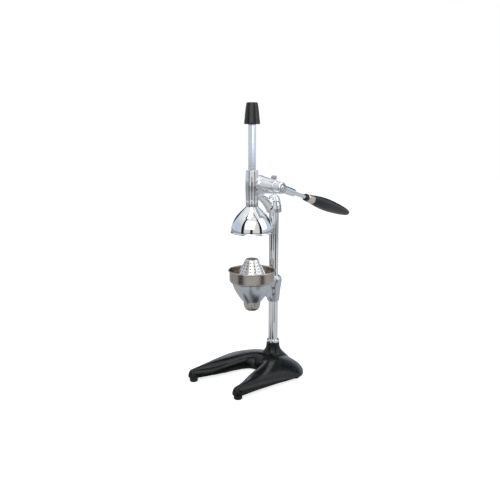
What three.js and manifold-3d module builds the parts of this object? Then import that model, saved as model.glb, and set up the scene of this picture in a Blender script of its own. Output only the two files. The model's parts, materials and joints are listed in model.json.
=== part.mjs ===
// A lever citrus press: a horseshoe base, a column with a geared head, a rack that a side
// lever drives down, a bell on its lower end, and a funnel with a perforated reamer below.
// Millimetres, +Z up. The front, where the feet of the horseshoe point, is -Y.
import * as THREE from "three";
import { mergeVertices } from "three/addons/utils/BufferGeometryUtils.js";
import Module from "manifold-3d";

const wasm = await Module();
wasm.setup();

// Fits shared by all pieces
const seatGap = 0.3; // between pieces that rest on or sit in each other
const runningGap = 0.3; // round pieces that slide or turn
const overrun = 3; // how far a cutting tool runs past the face that it cuts
const fineSides = 32;
const roundSides = 20;
const smallSides = 8;
const hexSides = 6;

// Base casting and feet
const baseHalfWidth = 118; // at the shoulders, from the column axis
const legReach = 218; // column axis to the front feet
const frontRimHeight = 11; // lower edge of the casting above the table
const backRimHeight = 4;
const legRise = 21; // crown of a leg above the rim, at its front end
const archRise = 35; // crown of the arch above the rim, at the back
const crownShiftShare = 0.32; // how far the crown moves to the inner edge at the back
const shoulderShiftShare = 0.3; // and further at the shoulders
const innerFullness = 1.1; // below 1 the arch is boxy, above 1 it is peaked
const legFullness = 0.8;
const backFullness = 0.9;
const shoulderFullness = 0.35; // added at the shoulders, on the outer side
const baseWall = 6;
const tipTurns = [80, 60, 35].map(THREE.MathUtils.degToRad); // stations round the end of a leg
const hubRadius = 17.5;
const hubHeight = 66; // top of the hub above the table
const hubFlareRadius = 46;
const hubFlareHeight = 17; // its lower edge, above the table
const hubSeatDepth = 34; // column socket in the hub
const tieBossRadius = 21;
const tieBossHeight = 21; // lower face of the boss above the table
const ribThickness = 5;
const ribPlaceShares = [0.52, 0.76]; // of legReach, in front of the column
const outerEdgeShares = [
  [0.77, 1], [0.83, 0.75], [0.92, 0.46], [0.985, 0.27], [1, 0.14],
  [0.9, 0.015], [0.66, -0.12], [0.33, -0.185],
];
const innerEdgeShares = [[0.53, 1], [0.44, 0.87], [0.345, 0.69], [0.25, 0.46], [0.16, 0.345]];
const baseBackShare = 0.206; // of legReach, outer edge behind the column
const archMouthShare = 0.305; // of legReach, inner edge in front of the column
const footRadius = 10.5;
const footPadHeight = 11;
const footPadEdge = 1.5;
const footStemRadius = 4;
const footStemLength = 7;
const rearFootShares = [0.84, 0.13]; // of baseHalfWidth and of legReach

// Column with its tie rod
const columnRadius = 12.5;
const columnWall = 2.4;
const collarRadius = 16.6;
const collarHeight = 7;
const collarLip = 1.2;
const tieRodRadius = 5;
const tieNutRadius = 9;
const tieNutHeight = 8;
const tieWasherRadius = 12;
const tieWasherThickness = 2;
const tieRodEnd = 3; // thread showing below the nut

// Gear train: a pinion on the lever's shaft behind the square rack
const toothModule = 2.5;
const pinionTeeth = 16;
const pressureAngle = THREE.MathUtils.degToRad(20);
const dedendumShare = 1.25; // of toothModule
const toothBacklash = 0.3;
const pinionWidth = 8;
const rackSide = 13.6;
const ramTravel = 90;
const ramReach = 84; // column axis forward to the axis of rack, bell and reamer
const shaftHeight = 485.8;
const shaftRadius = 8;
const keySize = 4;

// Head casting: guide, gear housing, shaft barrel, arm and column socket in one piece
const guideRise = 38.8; // guide's top above the shaft
const guideDrop = 32; // guide's foot below the shaft
const guideEndRadius = 15.4;
const guideBulge = 1; // the guide swells a little at mid height
const housingWall = 2.4;
const gearRoom = 0.5; // round the pinion's tips and beside its faces
const housingEdge = 2;
const housingOverhang = 1; // past the guide, on the cover's side
const barrelReach = 57; // end of the barrel from the ram's plane
const barrelTipRadius = 15.4;
const barrelRootRadius = 22.5;
const barrelRootRaise = 5; // the root's centre lies above the shaft
const barrelEdge = 1.2;
const lugTopHeight = 29; // above the shaft
const lugFoot = 23;
const lugTop = 12;
const lugThickness = 6;
const lugInset = 1; // behind the barrel's end
const socketRadius = 19.6;
const socketDrop = 71; // lower edge below the shaft
const socketHeight = 46; // with its domed top
const socketSeatDepth = 31;
const socketEdge = 1;
const socketDomeShares = [0.6, 0.75]; // of socketRadius and of socketHeight
const tieThreadDepth = 9;
const armHalfWidth = 7.5;
const armRootHalfHeight = 5.5; // at the guide
const armSocketHalfHeight = 15;
const armEndShares = [0.6, 0.7]; // of socketRadius and of armSocketHalfHeight
const armGrowthPower = 1.3; // above 1 the arm stays slim near the guide
const armSpreadShare = 0.33; // how much wider the arm is at the socket
const coverThickness = 3;
const coverEdge = 1;
const coverEarRadius = 3.8;
const coverBossRadius = 13;
const coverBossLength = 11;
const coverBossFillet = 2;
const coverScrewRadius = 3.2;
const coverScrewHead = 2;
const coverScrewShank = 1.6;
const coverScrewLength = 7;
const coverScrewTurns = [30, 150, 270].map(THREE.MathUtils.degToRad);
const screwHeadTopShare = 0.8; // of a screw's head radius
const bushWall = 2.6;
const bushLength = 9;
const setScrewRadius = 3;
const setScrewSink = 1; // below the face that it is driven into
const setScrewSocketShare = 0.55; // of setScrewRadius

// Lever with its hub and grip
const leverAngle = THREE.MathUtils.degToRad(17); // below the horizontal, towards the back
const leverLength = 310; // shaft axis to the tip of the grip
const hubWidth = 21;
const hubEyeRadius = 14.4;
const hubFaceRadius = 12;
const hubRecessDepth = 5; // for the screw's head
const hubDomeShares = [0.4, 0.9]; // of half of hubWidth
const squareSide = 11; // of the shaft's end in the hub
const leverSocketRadius = 9.8;
const leverSocketTipRadius = 9.2;
const leverSocketEnd = 57; // from the shaft axis
const leverSocketEdge = 1.5;
const leverSocketTaperShare = 0.45; // of leverSocketEnd, where the taper starts
const leverRodStart = 24;
const leverRodRadius = 5;
const leverRodGripDepth = 90;
const gripCollarStart = 106;
const gripCollarLength = 7;
const gripCollarRadius = 9.2;
const gripCollarEdge = 1;
const ferruleLength = 24;
const ferruleRadius = 10.2;
const ferruleEdge = 1;
const gripNeckRadius = 11.8;
const gripMaxRadius = 16.5;
// Radii of the grip as shares of gripMaxRadius, each with its place as a share of the grip's length
const gripShares = [[0.94, 0.2], [1, 0.42], [0.83, 0.72], [0.58, 0.93], [0.39, 1]];
const endScrewRadius = 7.5;
const endScrewHead = 4;
const endScrewShank = 4;
const endScrewLength = 18;
const endScrewSocketShare = 0.38; // of endScrewRadius
const endWasherThickness = 1.2;

// Ram: rack, cap and bell
const bellRadius = 52.6;
const bellHeight = 65;
const bellWall = 3.4;
const bellRimBead = 1.4;
const bellCavityHeight = 45;
const bellFlankShare = 0.56; // of bellHeight, where the skirt ends
const bellShoulderShares = [0.62, 0.73]; // of bellRadius and of bellHeight
const bellCrownShare = 0.36; // of bellRadius, half the flat of the cavity's top
const bellCavityFlankShare = 0.72; // of bellCavityHeight
const neckRadius = 15.6;
const neckHeight = 16.6;
const neckEdge = 1;
const rackSeatDepth = 12; // rack's end in the neck, and in the cap
const bellScrewRadius = 7;
const bellScrewHead = 4.4;
const bellScrewShank = 4;
const bellScrewLength = 30;
const screwTipGap = 2; // between a screw's tip and the end of its bore
const capRise = 111; // cap's foot above the guide when the ram is up
const capHeight = 51;
const capFootRadius = 19.3;
const capTopRadius = 13.6;
const capEdge = 2.5;
const capSideShares = [0.45, 0.75]; // of capHeight

// Cup: holder clamped to the column, funnel and reamer
const funnelRimHeight = 278; // above the table
const funnelRimRadius = 60;
const rimBeadRadius = 2.1;
const rimBeadTurn = THREE.MathUtils.degToRad(207);
const funnelBandRadius = 56.8;
const funnelBandHeight = 30;
const funnelWall = 1.3;
const holderHeight = 48;
const holderTopRadius = 50.3;
const holderFootRadius = 24.6;
const holderWall = 3.2;
const holderFootWall = 2.3;
const holderFlankShares = [0.935, 0.44]; // of holderTopRadius and of holderHeight
const spoutLength = 24; // below the holder
const spoutMouthRadius = 14.5;
const sleeveHeight = 69;
const sleeveDrop = 66; // its foot below the holder's top
const sleeveRadius = 21.8;
// Radii of the sleeve as shares of sleeveRadius, each with its place as a share of sleeveHeight
const sleeveShares = [[0.725, 0.045], [0.83, 0.4], [1, 0.77], [0.93, 0.93]];
const sleeveFootShare = 0.66; // of sleeveRadius, the flat at its foot
const sleeveTopShare = 0.7;
const holderWebThickness = 18;
const holderWebInset = 1; // below the holder's top
const holderWebBendShare = 0.4; // of its reach
const holderScrewPlaceShares = [0.3, 0.56]; // of sleeveHeight, up from the foot
const holderScrewLength = 4;
const holderScrewTurn = THREE.MathUtils.degToRad(42); // from the front towards the lever
const reamerHeight = 58;
const reamerTopRadius = 15.4;
const reamerFootRadius = 45;
const reamerWall = 1.4;
const reamerRibs = 8;
const reamerRibShare = 0.06;
const reamerRibTurn = THREE.MathUtils.degToRad(4); // half the width of a rib
const reamerFadeShares = [0.2, 0.17]; // of reamerHeight, where the ribs fade at the foot and the top
const reamerLevelShares = [0, 0.12, 0.34, 0.94, 1];
const reamerHoleRadius = 1.7;
const reamerHoleRows = 5;
const reamerHolePitch = 7; // up the cone
const reamerTopMargin = 7.5;

// Places and sizes that follow from the ones above
const pitchRadius = (toothModule * pinionTeeth) / 2;
const tipRadius = pitchRadius + toothModule;
const toothFoot = dedendumShare * toothModule;
const rootRadius = pitchRadius - toothFoot;
const toothPitch = Math.PI * toothModule;
const shaftReach = ramReach - rackSide / 2 + toothModule - pitchRadius;
const shaftPlace = new THREE.Vector3(0, -shaftReach, shaftHeight);
const guideTop = shaftHeight + guideRise;
const guideFoot = shaftHeight - guideDrop;
const socketFoot = shaftHeight - socketDrop;
const cavityRadius = tipRadius + gearRoom;
const housingRadius = cavityRadius + housingWall;
const cavityHalfWidth = pinionWidth / 2 + gearRoom;
const housingFace = cavityHalfWidth + housingWall;
const housingReach = guideEndRadius + guideBulge + housingOverhang; // towards the cover
const columnFoot = hubHeight - hubSeatDepth + seatGap;
const columnTop = socketFoot + socketSeatDepth - seatGap;
const columnBoreRadius = columnRadius + seatGap;
const tieBoreRadius = tieRodRadius + seatGap;
const leverBoreRadius = leverRodRadius + seatGap;
const screwBoreRadius = setScrewRadius + seatGap;
const coverScrewBoreRadius = coverScrewShank + seatGap;
const bushRadius = shaftRadius + bushWall;
const bellNeckTop = guideFoot - seatGap;
const bellNeckFoot = bellNeckTop - neckHeight;
const bellRim = bellNeckFoot - bellHeight;
const capFoot = guideTop + capRise;
const holderTop = funnelRimHeight - funnelBandHeight - rimBeadRadius - seatGap;
const holderFoot = holderTop - holderHeight;
const sleeveFoot = holderTop - sleeveDrop;
const hubStart = barrelReach + seatGap;
const leverPlane = hubStart + hubWidth / 2;
const hubFace = hubStart + hubWidth;
const screwSeat = hubFace - hubRecessDepth;
const ferruleStart = gripCollarStart + gripCollarLength + seatGap;
const gripStart = ferruleStart + ferruleLength + seatGap;

const up = new THREE.Vector3(0, 0, 1);
const sideways = new THREE.Vector3(1, 0, 0);
const away = new THREE.Vector3(-1, 0, 0); // from the lever
const backwards = new THREE.Vector3(0, 1, 0);
const leverDirection = new THREE.Vector3(0, Math.cos(leverAngle), -Math.sin(leverAngle));
const leverPlace = new THREE.Vector3(leverPlane, -shaftReach, shaftHeight);

// Solids from geometry, and back

function signedVolume(positions, triangles) {
  const [a, b, c] = [new THREE.Vector3(), new THREE.Vector3(), new THREE.Vector3()];
  let sum = 0;
  for (let i = 0; i < triangles.length; i += 3) {
    a.fromArray(positions, 3 * triangles[i]);
    b.fromArray(positions, 3 * triangles[i + 1]);
    c.fromArray(positions, 3 * triangles[i + 2]);
    sum += a.dot(b.cross(c)) / 6;
  }
  return sum;
}

function solid(geometry) {
  const bare = geometry.clone();
  bare.deleteAttribute("normal");
  bare.deleteAttribute("uv");
  const merged = mergeVertices(bare, 1e-4);
  const positions = merged.attributes.position.array;
  const source = merged.index.array;
  const triangles = [];
  for (let i = 0; i < source.length; i += 3) {
    const [a, b, c] = [source[i], source[i + 1], source[i + 2]];
    if (a !== b && b !== c && c !== a) triangles.push(a, b, c);
  }
  if (signedVolume(positions, triangles) < 0) triangles.reverse();
  const mesh = new wasm.Mesh({
    numProp: 3,
    vertProperties: Float32Array.from(positions),
    triVerts: Uint32Array.from(triangles),
  });
  return new wasm.Manifold(mesh);
}

function geometryOf(manifold) {
  const mesh = manifold.getMesh();
  const geometry = new THREE.BufferGeometry();
  geometry.setAttribute("position", new THREE.BufferAttribute(mesh.vertProperties, 3));
  geometry.setIndex(new THREE.BufferAttribute(mesh.triVerts, 1));
  geometry.computeVertexNormals();
  return geometry;
}

function join(...solids) {
  return solids.reduce((sum, next) => sum.add(next));
}

function cut(body, ...tools) {
  return tools.reduce((rest, tool) => rest.subtract(tool), body);
}

// Shapes that the pieces share

// A profile of [radius, distance] pairs turned about the line from place along direction.
function turned(profile, place, direction, sides = roundSides) {
  const points = profile.map(([radius, distance]) => new THREE.Vector2(radius, distance));
  points.push(points[0].clone());
  const geometry = new THREE.LatheGeometry(points, sides);
  geometry.applyQuaternion(new THREE.Quaternion().setFromUnitVectors(new THREE.Vector3(0, 1, 0), direction));
  geometry.translate(place.x, place.y, place.z);
  return solid(geometry);
}

function onAxis(reach, height = 0) {
  return new THREE.Vector3(0, -reach, height);
}

function rod(radius, start, end, place, direction, sides = roundSides) {
  return turned([[0, start], [radius, start], [radius, end], [0, end]], place, direction, sides);
}

function ring(inner, outer, start, end, place, direction, sides = roundSides) {
  return turned([[inner, start], [outer, start], [outer, end], [inner, end]], place, direction, sides);
}

function block(width, depth, height, x, y, z) {
  const geometry = new THREE.BoxGeometry(width, depth, height);
  geometry.translate(x, y, z);
  return solid(geometry);
}

// A shape drawn in Y and Z, as thick as width, centred on x.
function slab(shape, width, x) {
  const geometry = new THREE.ExtrudeGeometry(shape, { depth: width, bevelEnabled: false, curveSegments: 8 });
  const toSide = new THREE.Matrix4().set(0, 0, 1, 0, 1, 0, 0, 0, 0, 1, 0, 0, 0, 0, 0, 1);
  geometry.applyMatrix4(toSide);
  geometry.translate(x - width / 2, 0, 0);
  return solid(geometry);
}

// Rings of points joined by strips, with a fan over each end.
function loft(rings) {
  const positions = rings.flat().flatMap((point) => point.toArray());
  const count = rings[0].length;
  const triangles = [];
  for (let k = 0; k + 1 < rings.length; k += 1) {
    for (let i = 0; i < count; i += 1) {
      const a = k * count + i;
      const b = k * count + ((i + 1) % count);
      triangles.push(a, b, b + count, a, b + count, a + count);
    }
  }
  const last = (rings.length - 1) * count;
  for (let i = 1; i + 1 < count; i += 1) {
    triangles.push(0, i + 1, i, last, last + i, last + i + 1);
  }
  const geometry = new THREE.BufferGeometry();
  geometry.setAttribute("position", new THREE.Float32BufferAttribute(positions, 3));
  geometry.setIndex(triangles);
  return solid(geometry);
}

// Points of a curve through or between radius and height pairs.
function arcPoints(curve, steps) {
  return curve.getPoints(steps).map((point) => [point.x, point.y]);
}

function bezier(points, steps) {
  const [a, b, c, d] = points.map(([x, y]) => new THREE.Vector2(x, y));
  const curve = d ? new THREE.CubicBezierCurve(a, b, c, d) : new THREE.QuadraticBezierCurve(a, b, c);
  return arcPoints(curve, steps);
}

function smooth(points, steps) {
  return arcPoints(new THREE.SplineCurve(points.map(([x, y]) => new THREE.Vector2(x, y))), steps);
}

// Base casting

function edgeCurve(shares, middleShare) {
  const half = shares.map(([x, y]) => new THREE.Vector3(x * baseHalfWidth, -y * legReach, 0));
  const middle = new THREE.Vector3(0, -middleShare * legReach, 0);
  const mirrored = half.map((point) => new THREE.Vector3(-point.x, point.y, point.z)).reverse();
  return new THREE.CatmullRomCurve3([...half, middle, ...mirrored], false, "centripetal");
}

const outerEdge = edgeCurve(outerEdgeShares, -baseBackShare);
const innerEdge = edgeCurve(innerEdgeShares, archMouthShare);

// An arched cross-section between the two edges, moved in by the wall for the hollow below.
function baseSection(share, wall, drop, tipTurn) {
  const inner = innerEdge.getPoint(share);
  const outer = outerEdge.getPoint(share);
  const across = outer.clone().sub(inner);
  const centre = inner.clone().add(outer).multiplyScalar(0.5);
  const halfWidth = (across.length() / 2 - wall) * Math.cos(tipTurn);
  centre.y -= (across.length() / 2) * Math.sin(tipTurn);
  across.normalize();
  const backness = Math.sin(Math.PI * share) ** 2;
  const rim = THREE.MathUtils.lerp(frontRimHeight, backRimHeight, backness);
  const rise = (THREE.MathUtils.lerp(legRise, archRise, backness) - wall) * Math.sqrt(Math.cos(tipTurn));
  const shoulder = 4 * backness * (1 - backness);
  const crownShift = crownShiftShare * backness + shoulderShiftShare * shoulder;
  const plainFullness = THREE.MathUtils.lerp(legFullness, backFullness, backness);
  const outerFullness = plainFullness + shoulderFullness * shoulder;
  const steps = 8;
  const section = [];
  for (let i = 0; i <= steps; i += 1) {
    const angle = (Math.PI * i) / steps;
    const shift = crownShift * Math.sin(angle) ** 2;
    const point = centre.clone().addScaledVector(across, (-Math.cos(angle) - shift) * halfWidth);
    const fullness = i > steps / 2 ? outerFullness : innerFullness;
    point.z = rim + rise * Math.sin(angle) ** fullness;
    section.push(point);
  }
  if (drop > 0) section.push(section[steps].clone().setZ(rim - drop), section[0].clone().setZ(rim - drop));
  return section;
}

function baseLoft(wall, drop, turns) {
  const stations = 16;
  const rings = [];
  for (const turn of turns) rings.push(baseSection(0, wall, drop, turn));
  for (let i = 0; i <= stations; i += 1) rings.push(baseSection(i / stations, wall, drop, 0));
  for (const turn of [...turns].reverse()) rings.push(baseSection(1, wall, drop, turn));
  return loft(rings);
}

function frontFootPlaces() {
  return [1, 0].map((end) => innerEdge.getPoint(end).lerp(outerEdge.getPoint(end), 0.5).setZ(0));
}

function rearFootPlaces() {
  const [x, y] = [rearFootShares[0] * baseHalfWidth, -rearFootShares[1] * legReach];
  return [new THREE.Vector3(-x, y, 0), new THREE.Vector3(x, y, 0)];
}

function baseCasting() {
  const skin = baseLoft(0, 0, tipTurns);
  const hollow = baseLoft(baseWall, frontRimHeight, []);
  const axis = onAxis(0);
  const crown = backRimHeight + archRise;
  const flare = bezier(
    [
      [hubFlareRadius, hubFlareHeight],
      [hubFlareRadius - tieBossRadius / 2, crown - baseWall],
      [hubRadius, crown],
      [hubRadius, hubHeight - baseWall],
    ],
    7,
  );
  const hubProfile = [[0, hubFlareHeight], ...flare, [hubRadius, hubHeight], [0, hubHeight]];
  const hub = turned(hubProfile, axis, up, fineSides);
  const boss = rod(tieBossRadius, tieBossHeight, crown, axis, up);
  const feet = [...frontFootPlaces(), ...rearFootPlaces()];
  const footBosses = feet.map((place) => rod(footRadius + seatGap, footPadHeight, crown, place, up));
  const ribHeight = frontRimHeight + baseWall + archRise / 2;
  const ribs = ribPlaceShares.map((share) =>
    block(2 * baseHalfWidth, ribThickness, archRise, 0, -share * legReach, ribHeight),
  );
  const inside = join(boss, ...footBosses, ...ribs).intersect(join(skin, hub));
  const columnBore = rod(columnBoreRadius, hubHeight - hubSeatDepth, hubHeight + overrun, axis, up);
  const tieBore = rod(tieBoreRadius, 0, hubHeight, axis, up, smallSides);
  const padRooms = feet.map((place) => rod(footRadius + 2 * seatGap, 0, footPadHeight, place, up));
  const stemEnd = footPadHeight + footStemLength + seatGap;
  const stemBores = feet.map((place) => rod(footStemRadius + seatGap, 0, stemEnd, place, up));
  return cut(join(cut(join(skin, hub), hollow), inside), columnBore, tieBore, ...padRooms, ...stemBores);
}

function foot(place) {
  const padTop = footPadHeight - seatGap;
  const profile = [
    [0, 0],
    [footRadius - footPadEdge, 0],
    [footRadius, footPadEdge],
    [footRadius - footPadEdge / 2, padTop],
    [footStemRadius, padTop],
    [footStemRadius, padTop + footStemLength],
    [0, padTop + footStemLength],
  ];
  return turned(profile, place, up);
}

// Column

function columnTube() {
  return ring(columnRadius - columnWall, columnRadius, columnFoot, columnTop, onAxis(0), up, fineSides);
}

function columnCollar() {
  const start = hubHeight + seatGap;
  const inner = columnBoreRadius;
  const profile = [
    [inner, start],
    [collarRadius, start],
    [collarRadius, start + collarHeight - collarLip],
    [collarRadius - collarLip, start + collarHeight],
    [inner, start + collarHeight],
  ];
  return turned(profile, onAxis(0), up);
}

function tieRod() {
  const washerFoot = tieBossHeight - seatGap - tieWasherThickness;
  const start = washerFoot - seatGap - tieNutHeight - tieRodEnd;
  return rod(tieRodRadius, start, columnTop + tieThreadDepth, onAxis(0), up, smallSides);
}

function tieWasher() {
  const end = tieBossHeight - seatGap;
  return ring(tieBoreRadius, tieWasherRadius, end - tieWasherThickness, end, onAxis(0), up);
}

function tieNut() {
  const end = tieBossHeight - 2 * seatGap - tieWasherThickness;
  const body = rod(tieNutRadius, end - tieNutHeight, end, onAxis(0), up, hexSides);
  return cut(body, rod(tieBoreRadius, 0, end + overrun, onAxis(0), up, smallSides));
}

// Head casting

function guideBody() {
  const swell = bezier(
    [[guideEndRadius, guideFoot], [guideEndRadius + 2 * guideBulge, shaftHeight], [guideEndRadius, guideTop]],
    8,
  );
  return turned([[0, guideFoot], ...swell, [0, guideTop]], onAxis(ramReach), up);
}

function barrelBody() {
  const edgeStart = barrelReach - barrelEdge;
  const rings = [0, barrelReach / 2, edgeStart, barrelReach].map((reach) => {
    const share = Math.min(reach / edgeStart, 1);
    const chamfer = reach === barrelReach ? barrelEdge : 0;
    const radius = THREE.MathUtils.lerp(barrelRootRadius, barrelTipRadius, share) - chamfer;
    const height = shaftPlace.z + barrelRootRaise * (1 - share);
    const points = [];
    for (let i = 0; i < roundSides; i += 1) {
      const angle = (2 * Math.PI * i) / roundSides;
      const y = shaftPlace.y + radius * Math.cos(angle);
      points.push(new THREE.Vector3(reach, y, height + radius * Math.sin(angle)));
    }
    return points;
  });
  return loft(rings);
}

function barrelLug() {
  const end = barrelReach - lugInset;
  const base = shaftHeight + barrelTipRadius - lugThickness;
  const top = shaftHeight + lugTopHeight;
  const shape = new THREE.Shape();
  shape.moveTo(end - lugFoot, base);
  shape.lineTo(end, base);
  shape.lineTo(end, top);
  shape.lineTo(end - lugTop, top);
  const geometry = new THREE.ExtrudeGeometry(shape, { depth: lugThickness, bevelEnabled: false });
  geometry.rotateX(Math.PI / 2);
  geometry.translate(0, shaftPlace.y + lugThickness / 2, 0);
  return solid(geometry);
}

// A rounded arm sweeps from below the gear down to the column socket, growing deeper on its way.
function armBody() {
  const start = new THREE.Vector3(0, -ramReach + guideEndRadius / 2, guideFoot + armHalfWidth);
  const [reachShare, heightShare] = armEndShares;
  const endHeight = socketFoot + heightShare * armSocketHalfHeight;
  const end = new THREE.Vector3(0, -reachShare * socketRadius, endHeight);
  const bend = new THREE.Vector3(0, (start.y + end.y) / 2, start.z);
  const path = new THREE.QuadraticBezierCurve3(start, bend, end);
  const rings = [];
  const steps = 6;
  const sides = 12;
  for (let k = 0; k <= steps; k += 1) {
    const share = k / steps;
    const centre = path.getPoint(share);
    const along = path.getTangent(share);
    const rise = new THREE.Vector3(0, -along.z, along.y);
    const halfHeight = THREE.MathUtils.lerp(armRootHalfHeight, armSocketHalfHeight, share ** armGrowthPower);
    const halfWidth = armHalfWidth * (1 + armSpreadShare * share);
    const points = [];
    for (let i = 0; i < sides; i += 1) {
      const angle = (2 * Math.PI * i) / sides;
      const point = centre.clone().addScaledVector(rise, halfHeight * Math.sin(angle));
      points.push(point.addScaledVector(sideways, halfWidth * Math.cos(angle)));
    }
    rings.push(points);
  }
  return loft(rings);
}

function socketBody() {
  const top = socketFoot + socketHeight;
  const [radiusShare, heightShare] = socketDomeShares;
  const dome = bezier(
    [
      [socketRadius, socketFoot + socketEdge],
      [socketRadius, socketFoot + heightShare * socketHeight],
      [radiusShare * socketRadius, top],
      [0, top],
    ],
    9,
  );
  const profile = [[0, socketFoot], [socketRadius - socketEdge, socketFoot], ...dome];
  return turned(profile, onAxis(0), up, fineSides);
}

function gearHousing() {
  return turned(
    [
      [0, -housingReach],
      [housingRadius, -housingReach],
      [housingRadius, housingFace - housingEdge],
      [housingRadius - housingEdge, housingFace],
      [0, housingFace],
    ],
    shaftPlace, sideways, fineSides,
  );
}

function headCasting() {
  const ears = coverScrewPlaces().map((place) =>
    rod(coverEarRadius, 0, housingReach - cavityHalfWidth, place, sideways, smallSides),
  );
  const outside = join(
    guideBody(), gearHousing(), ...ears, barrelBody(), barrelLug(), armBody(), socketBody(),
  );
  const rackHole = rackSide + 2 * runningGap;
  const holeLength = guideRise + guideDrop + 2 * overrun;
  const rackBore = block(rackHole, rackHole, holeLength, 0, -ramReach, (guideTop + guideFoot) / 2);
  const cavity = rod(cavityRadius, -housingReach - overrun, cavityHalfWidth, shaftPlace, sideways, fineSides);
  const bushStart = barrelReach - bushLength - 2 * seatGap;
  const bushBore = rod(bushRadius + seatGap, bushStart, barrelReach + overrun, shaftPlace, sideways);
  const shaftBore = rod(shaftRadius + 2 * runningGap, 0, barrelReach, shaftPlace, sideways);
  const axis = onAxis(0);
  const seatEnd = socketFoot + socketSeatDepth;
  const columnBore = rod(columnBoreRadius, socketFoot - overrun, seatEnd, axis, up, fineSides);
  const tieBoreEnd = columnTop + tieThreadDepth + seatGap;
  const tieBore = rod(tieBoreRadius, socketFoot, tieBoreEnd, axis, up, smallSides);
  const screwBoreEnd = socketRadius + overrun;
  const screwBore = rod(screwBoreRadius, columnRadius, screwBoreEnd, headScrewPlace(), backwards, smallSides);
  const coverScrewBores = coverScrewPlaces().map((place) =>
    rod(coverScrewBoreRadius, -overrun, coverScrewLength, place, sideways, smallSides),
  );
  const bores = [bushBore, shaftBore, columnBore, tieBore, screwBore, ...coverScrewBores];
  return cut(outside, rackBore, cavity, ...bores);
}

function headScrewPlace() {
  return onAxis(0, socketFoot + socketSeatDepth / 2);
}

// A hollow hex screw without a head, flush in its hole.
function setScrew(place, direction, start, length) {
  const socket = setScrewSocketShare * setScrewRadius;
  const end = start + length;
  const body = rod(setScrewRadius, start, end, place, direction, smallSides);
  return cut(body, rod(socket, end - setScrewRadius, end + overrun, place, direction, hexSides));
}

function headSetScrew() {
  const start = columnRadius + seatGap;
  return setScrew(headScrewPlace(), backwards, start, socketRadius - start - setScrewSink);
}

// Cover over the gear, on the side away from the lever

// On the face of the housing, on a circle round the shaft.
function coverScrewPlaces() {
  return coverScrewTurns.map((angle) => {
    const y = shaftPlace.y + housingRadius * Math.cos(angle);
    return new THREE.Vector3(-housingReach, y, shaftPlace.z + housingRadius * Math.sin(angle));
  });
}

function gearCover() {
  const face = housingReach + seatGap;
  const outside = face + coverThickness;
  const plate = turned(
    [
      [0, face],
      [housingRadius, face],
      [housingRadius, outside - coverEdge],
      [housingRadius - coverEdge, outside],
      [coverBossRadius + coverBossFillet, outside],
      [coverBossRadius, outside + coverBossFillet],
      [coverBossRadius - coverEdge, face + coverBossLength],
      [0, face + coverBossLength],
    ],
    shaftPlace, away, fineSides,
  );
  const ears = coverScrewPlaces().map((place) =>
    rod(coverEarRadius, seatGap, coverThickness + seatGap, place, away, smallSides),
  );
  const bore = rod(bushRadius + seatGap, face - overrun, face + bushLength + seatGap, shaftPlace, away);
  const holes = coverScrewPlaces().map((place) =>
    rod(coverScrewBoreRadius, -overrun, coverThickness + overrun, place, away, smallSides),
  );
  return cut(join(plate, ...ears), bore, ...holes);
}

function coverScrew(place) {
  const seat = coverThickness + 2 * seatGap;
  const top = seat + coverScrewHead;
  const shank = rod(coverScrewShank, seat - coverScrewLength, seat, place, away, smallSides);
  const head = turned(
    [[0, seat], [coverScrewRadius, seat], [screwHeadTopShare * coverScrewRadius, top], [0, top]],
    place, away, smallSides,
  );
  return join(shank, head);
}

// Shaft, bushes and pinion

function bush(start, direction) {
  const inner = shaftRadius + runningGap;
  return ring(inner, bushRadius, start, start + bushLength, shaftPlace, direction);
}

function barrelBush() {
  return bush(barrelReach - bushLength - seatGap, sideways);
}

function coverBush() {
  return bush(housingReach + seatGap, away);
}

// Keeps the pinion against the far wall of its cavity.
function pinionSpacer() {
  const inner = shaftRadius + seatGap;
  return ring(inner, bushRadius, pinionWidth / 2 + seatGap, housingReach - seatGap, shaftPlace, away);
}

function pinionShaft() {
  const start = housingReach + bushLength;
  const end = hubStart - seatGap;
  const round = rod(shaftRadius, -start, end, shaftPlace, sideways);
  const squareLength = screwSeat - hubStart;
  const squareMiddle = end + squareLength / 2;
  const square = block(squareLength, squareSide, squareSide, squareMiddle, shaftPlace.y, shaftPlace.z);
  const threadBore = rod(endScrewShank + seatGap, screwSeat - endScrewLength, hubFace, shaftPlace, sideways,
    smallSides);
  return cut(join(round, square), threadBore, keyRoom(seatGap));
}

// The key lies in the shaft and the pinion, above the shaft.
function keyRoom(gap) {
  const size = keySize + 2 * gap;
  return block(pinionWidth + 2 * gap, size, size, 0, shaftPlace.y, shaftPlace.z + shaftRadius);
}

function pinionKey() {
  return keyRoom(0);
}

// One flank of an involute tooth as angles from the tooth's middle, root to tip.
function involuteFlank(steps) {
  const baseRadius = pitchRadius * Math.cos(pressureAngle);
  const roll = (radius) => Math.sqrt(Math.max((radius / baseRadius) ** 2 - 1, 0));
  const turnAt = (radius) => roll(radius) - Math.atan(roll(radius));
  const halfTooth = Math.PI / (2 * pinionTeeth) - toothBacklash / (2 * pitchRadius);
  const start = Math.max(baseRadius, rootRadius);
  const points = [[rootRadius, halfTooth + turnAt(pitchRadius)]];
  for (let i = 0; i <= steps; i += 1) {
    const radius = start + ((tipRadius - start) * i) / steps;
    points.push([radius, halfTooth + turnAt(pitchRadius) - turnAt(radius)]);
  }
  return points;
}

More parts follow.
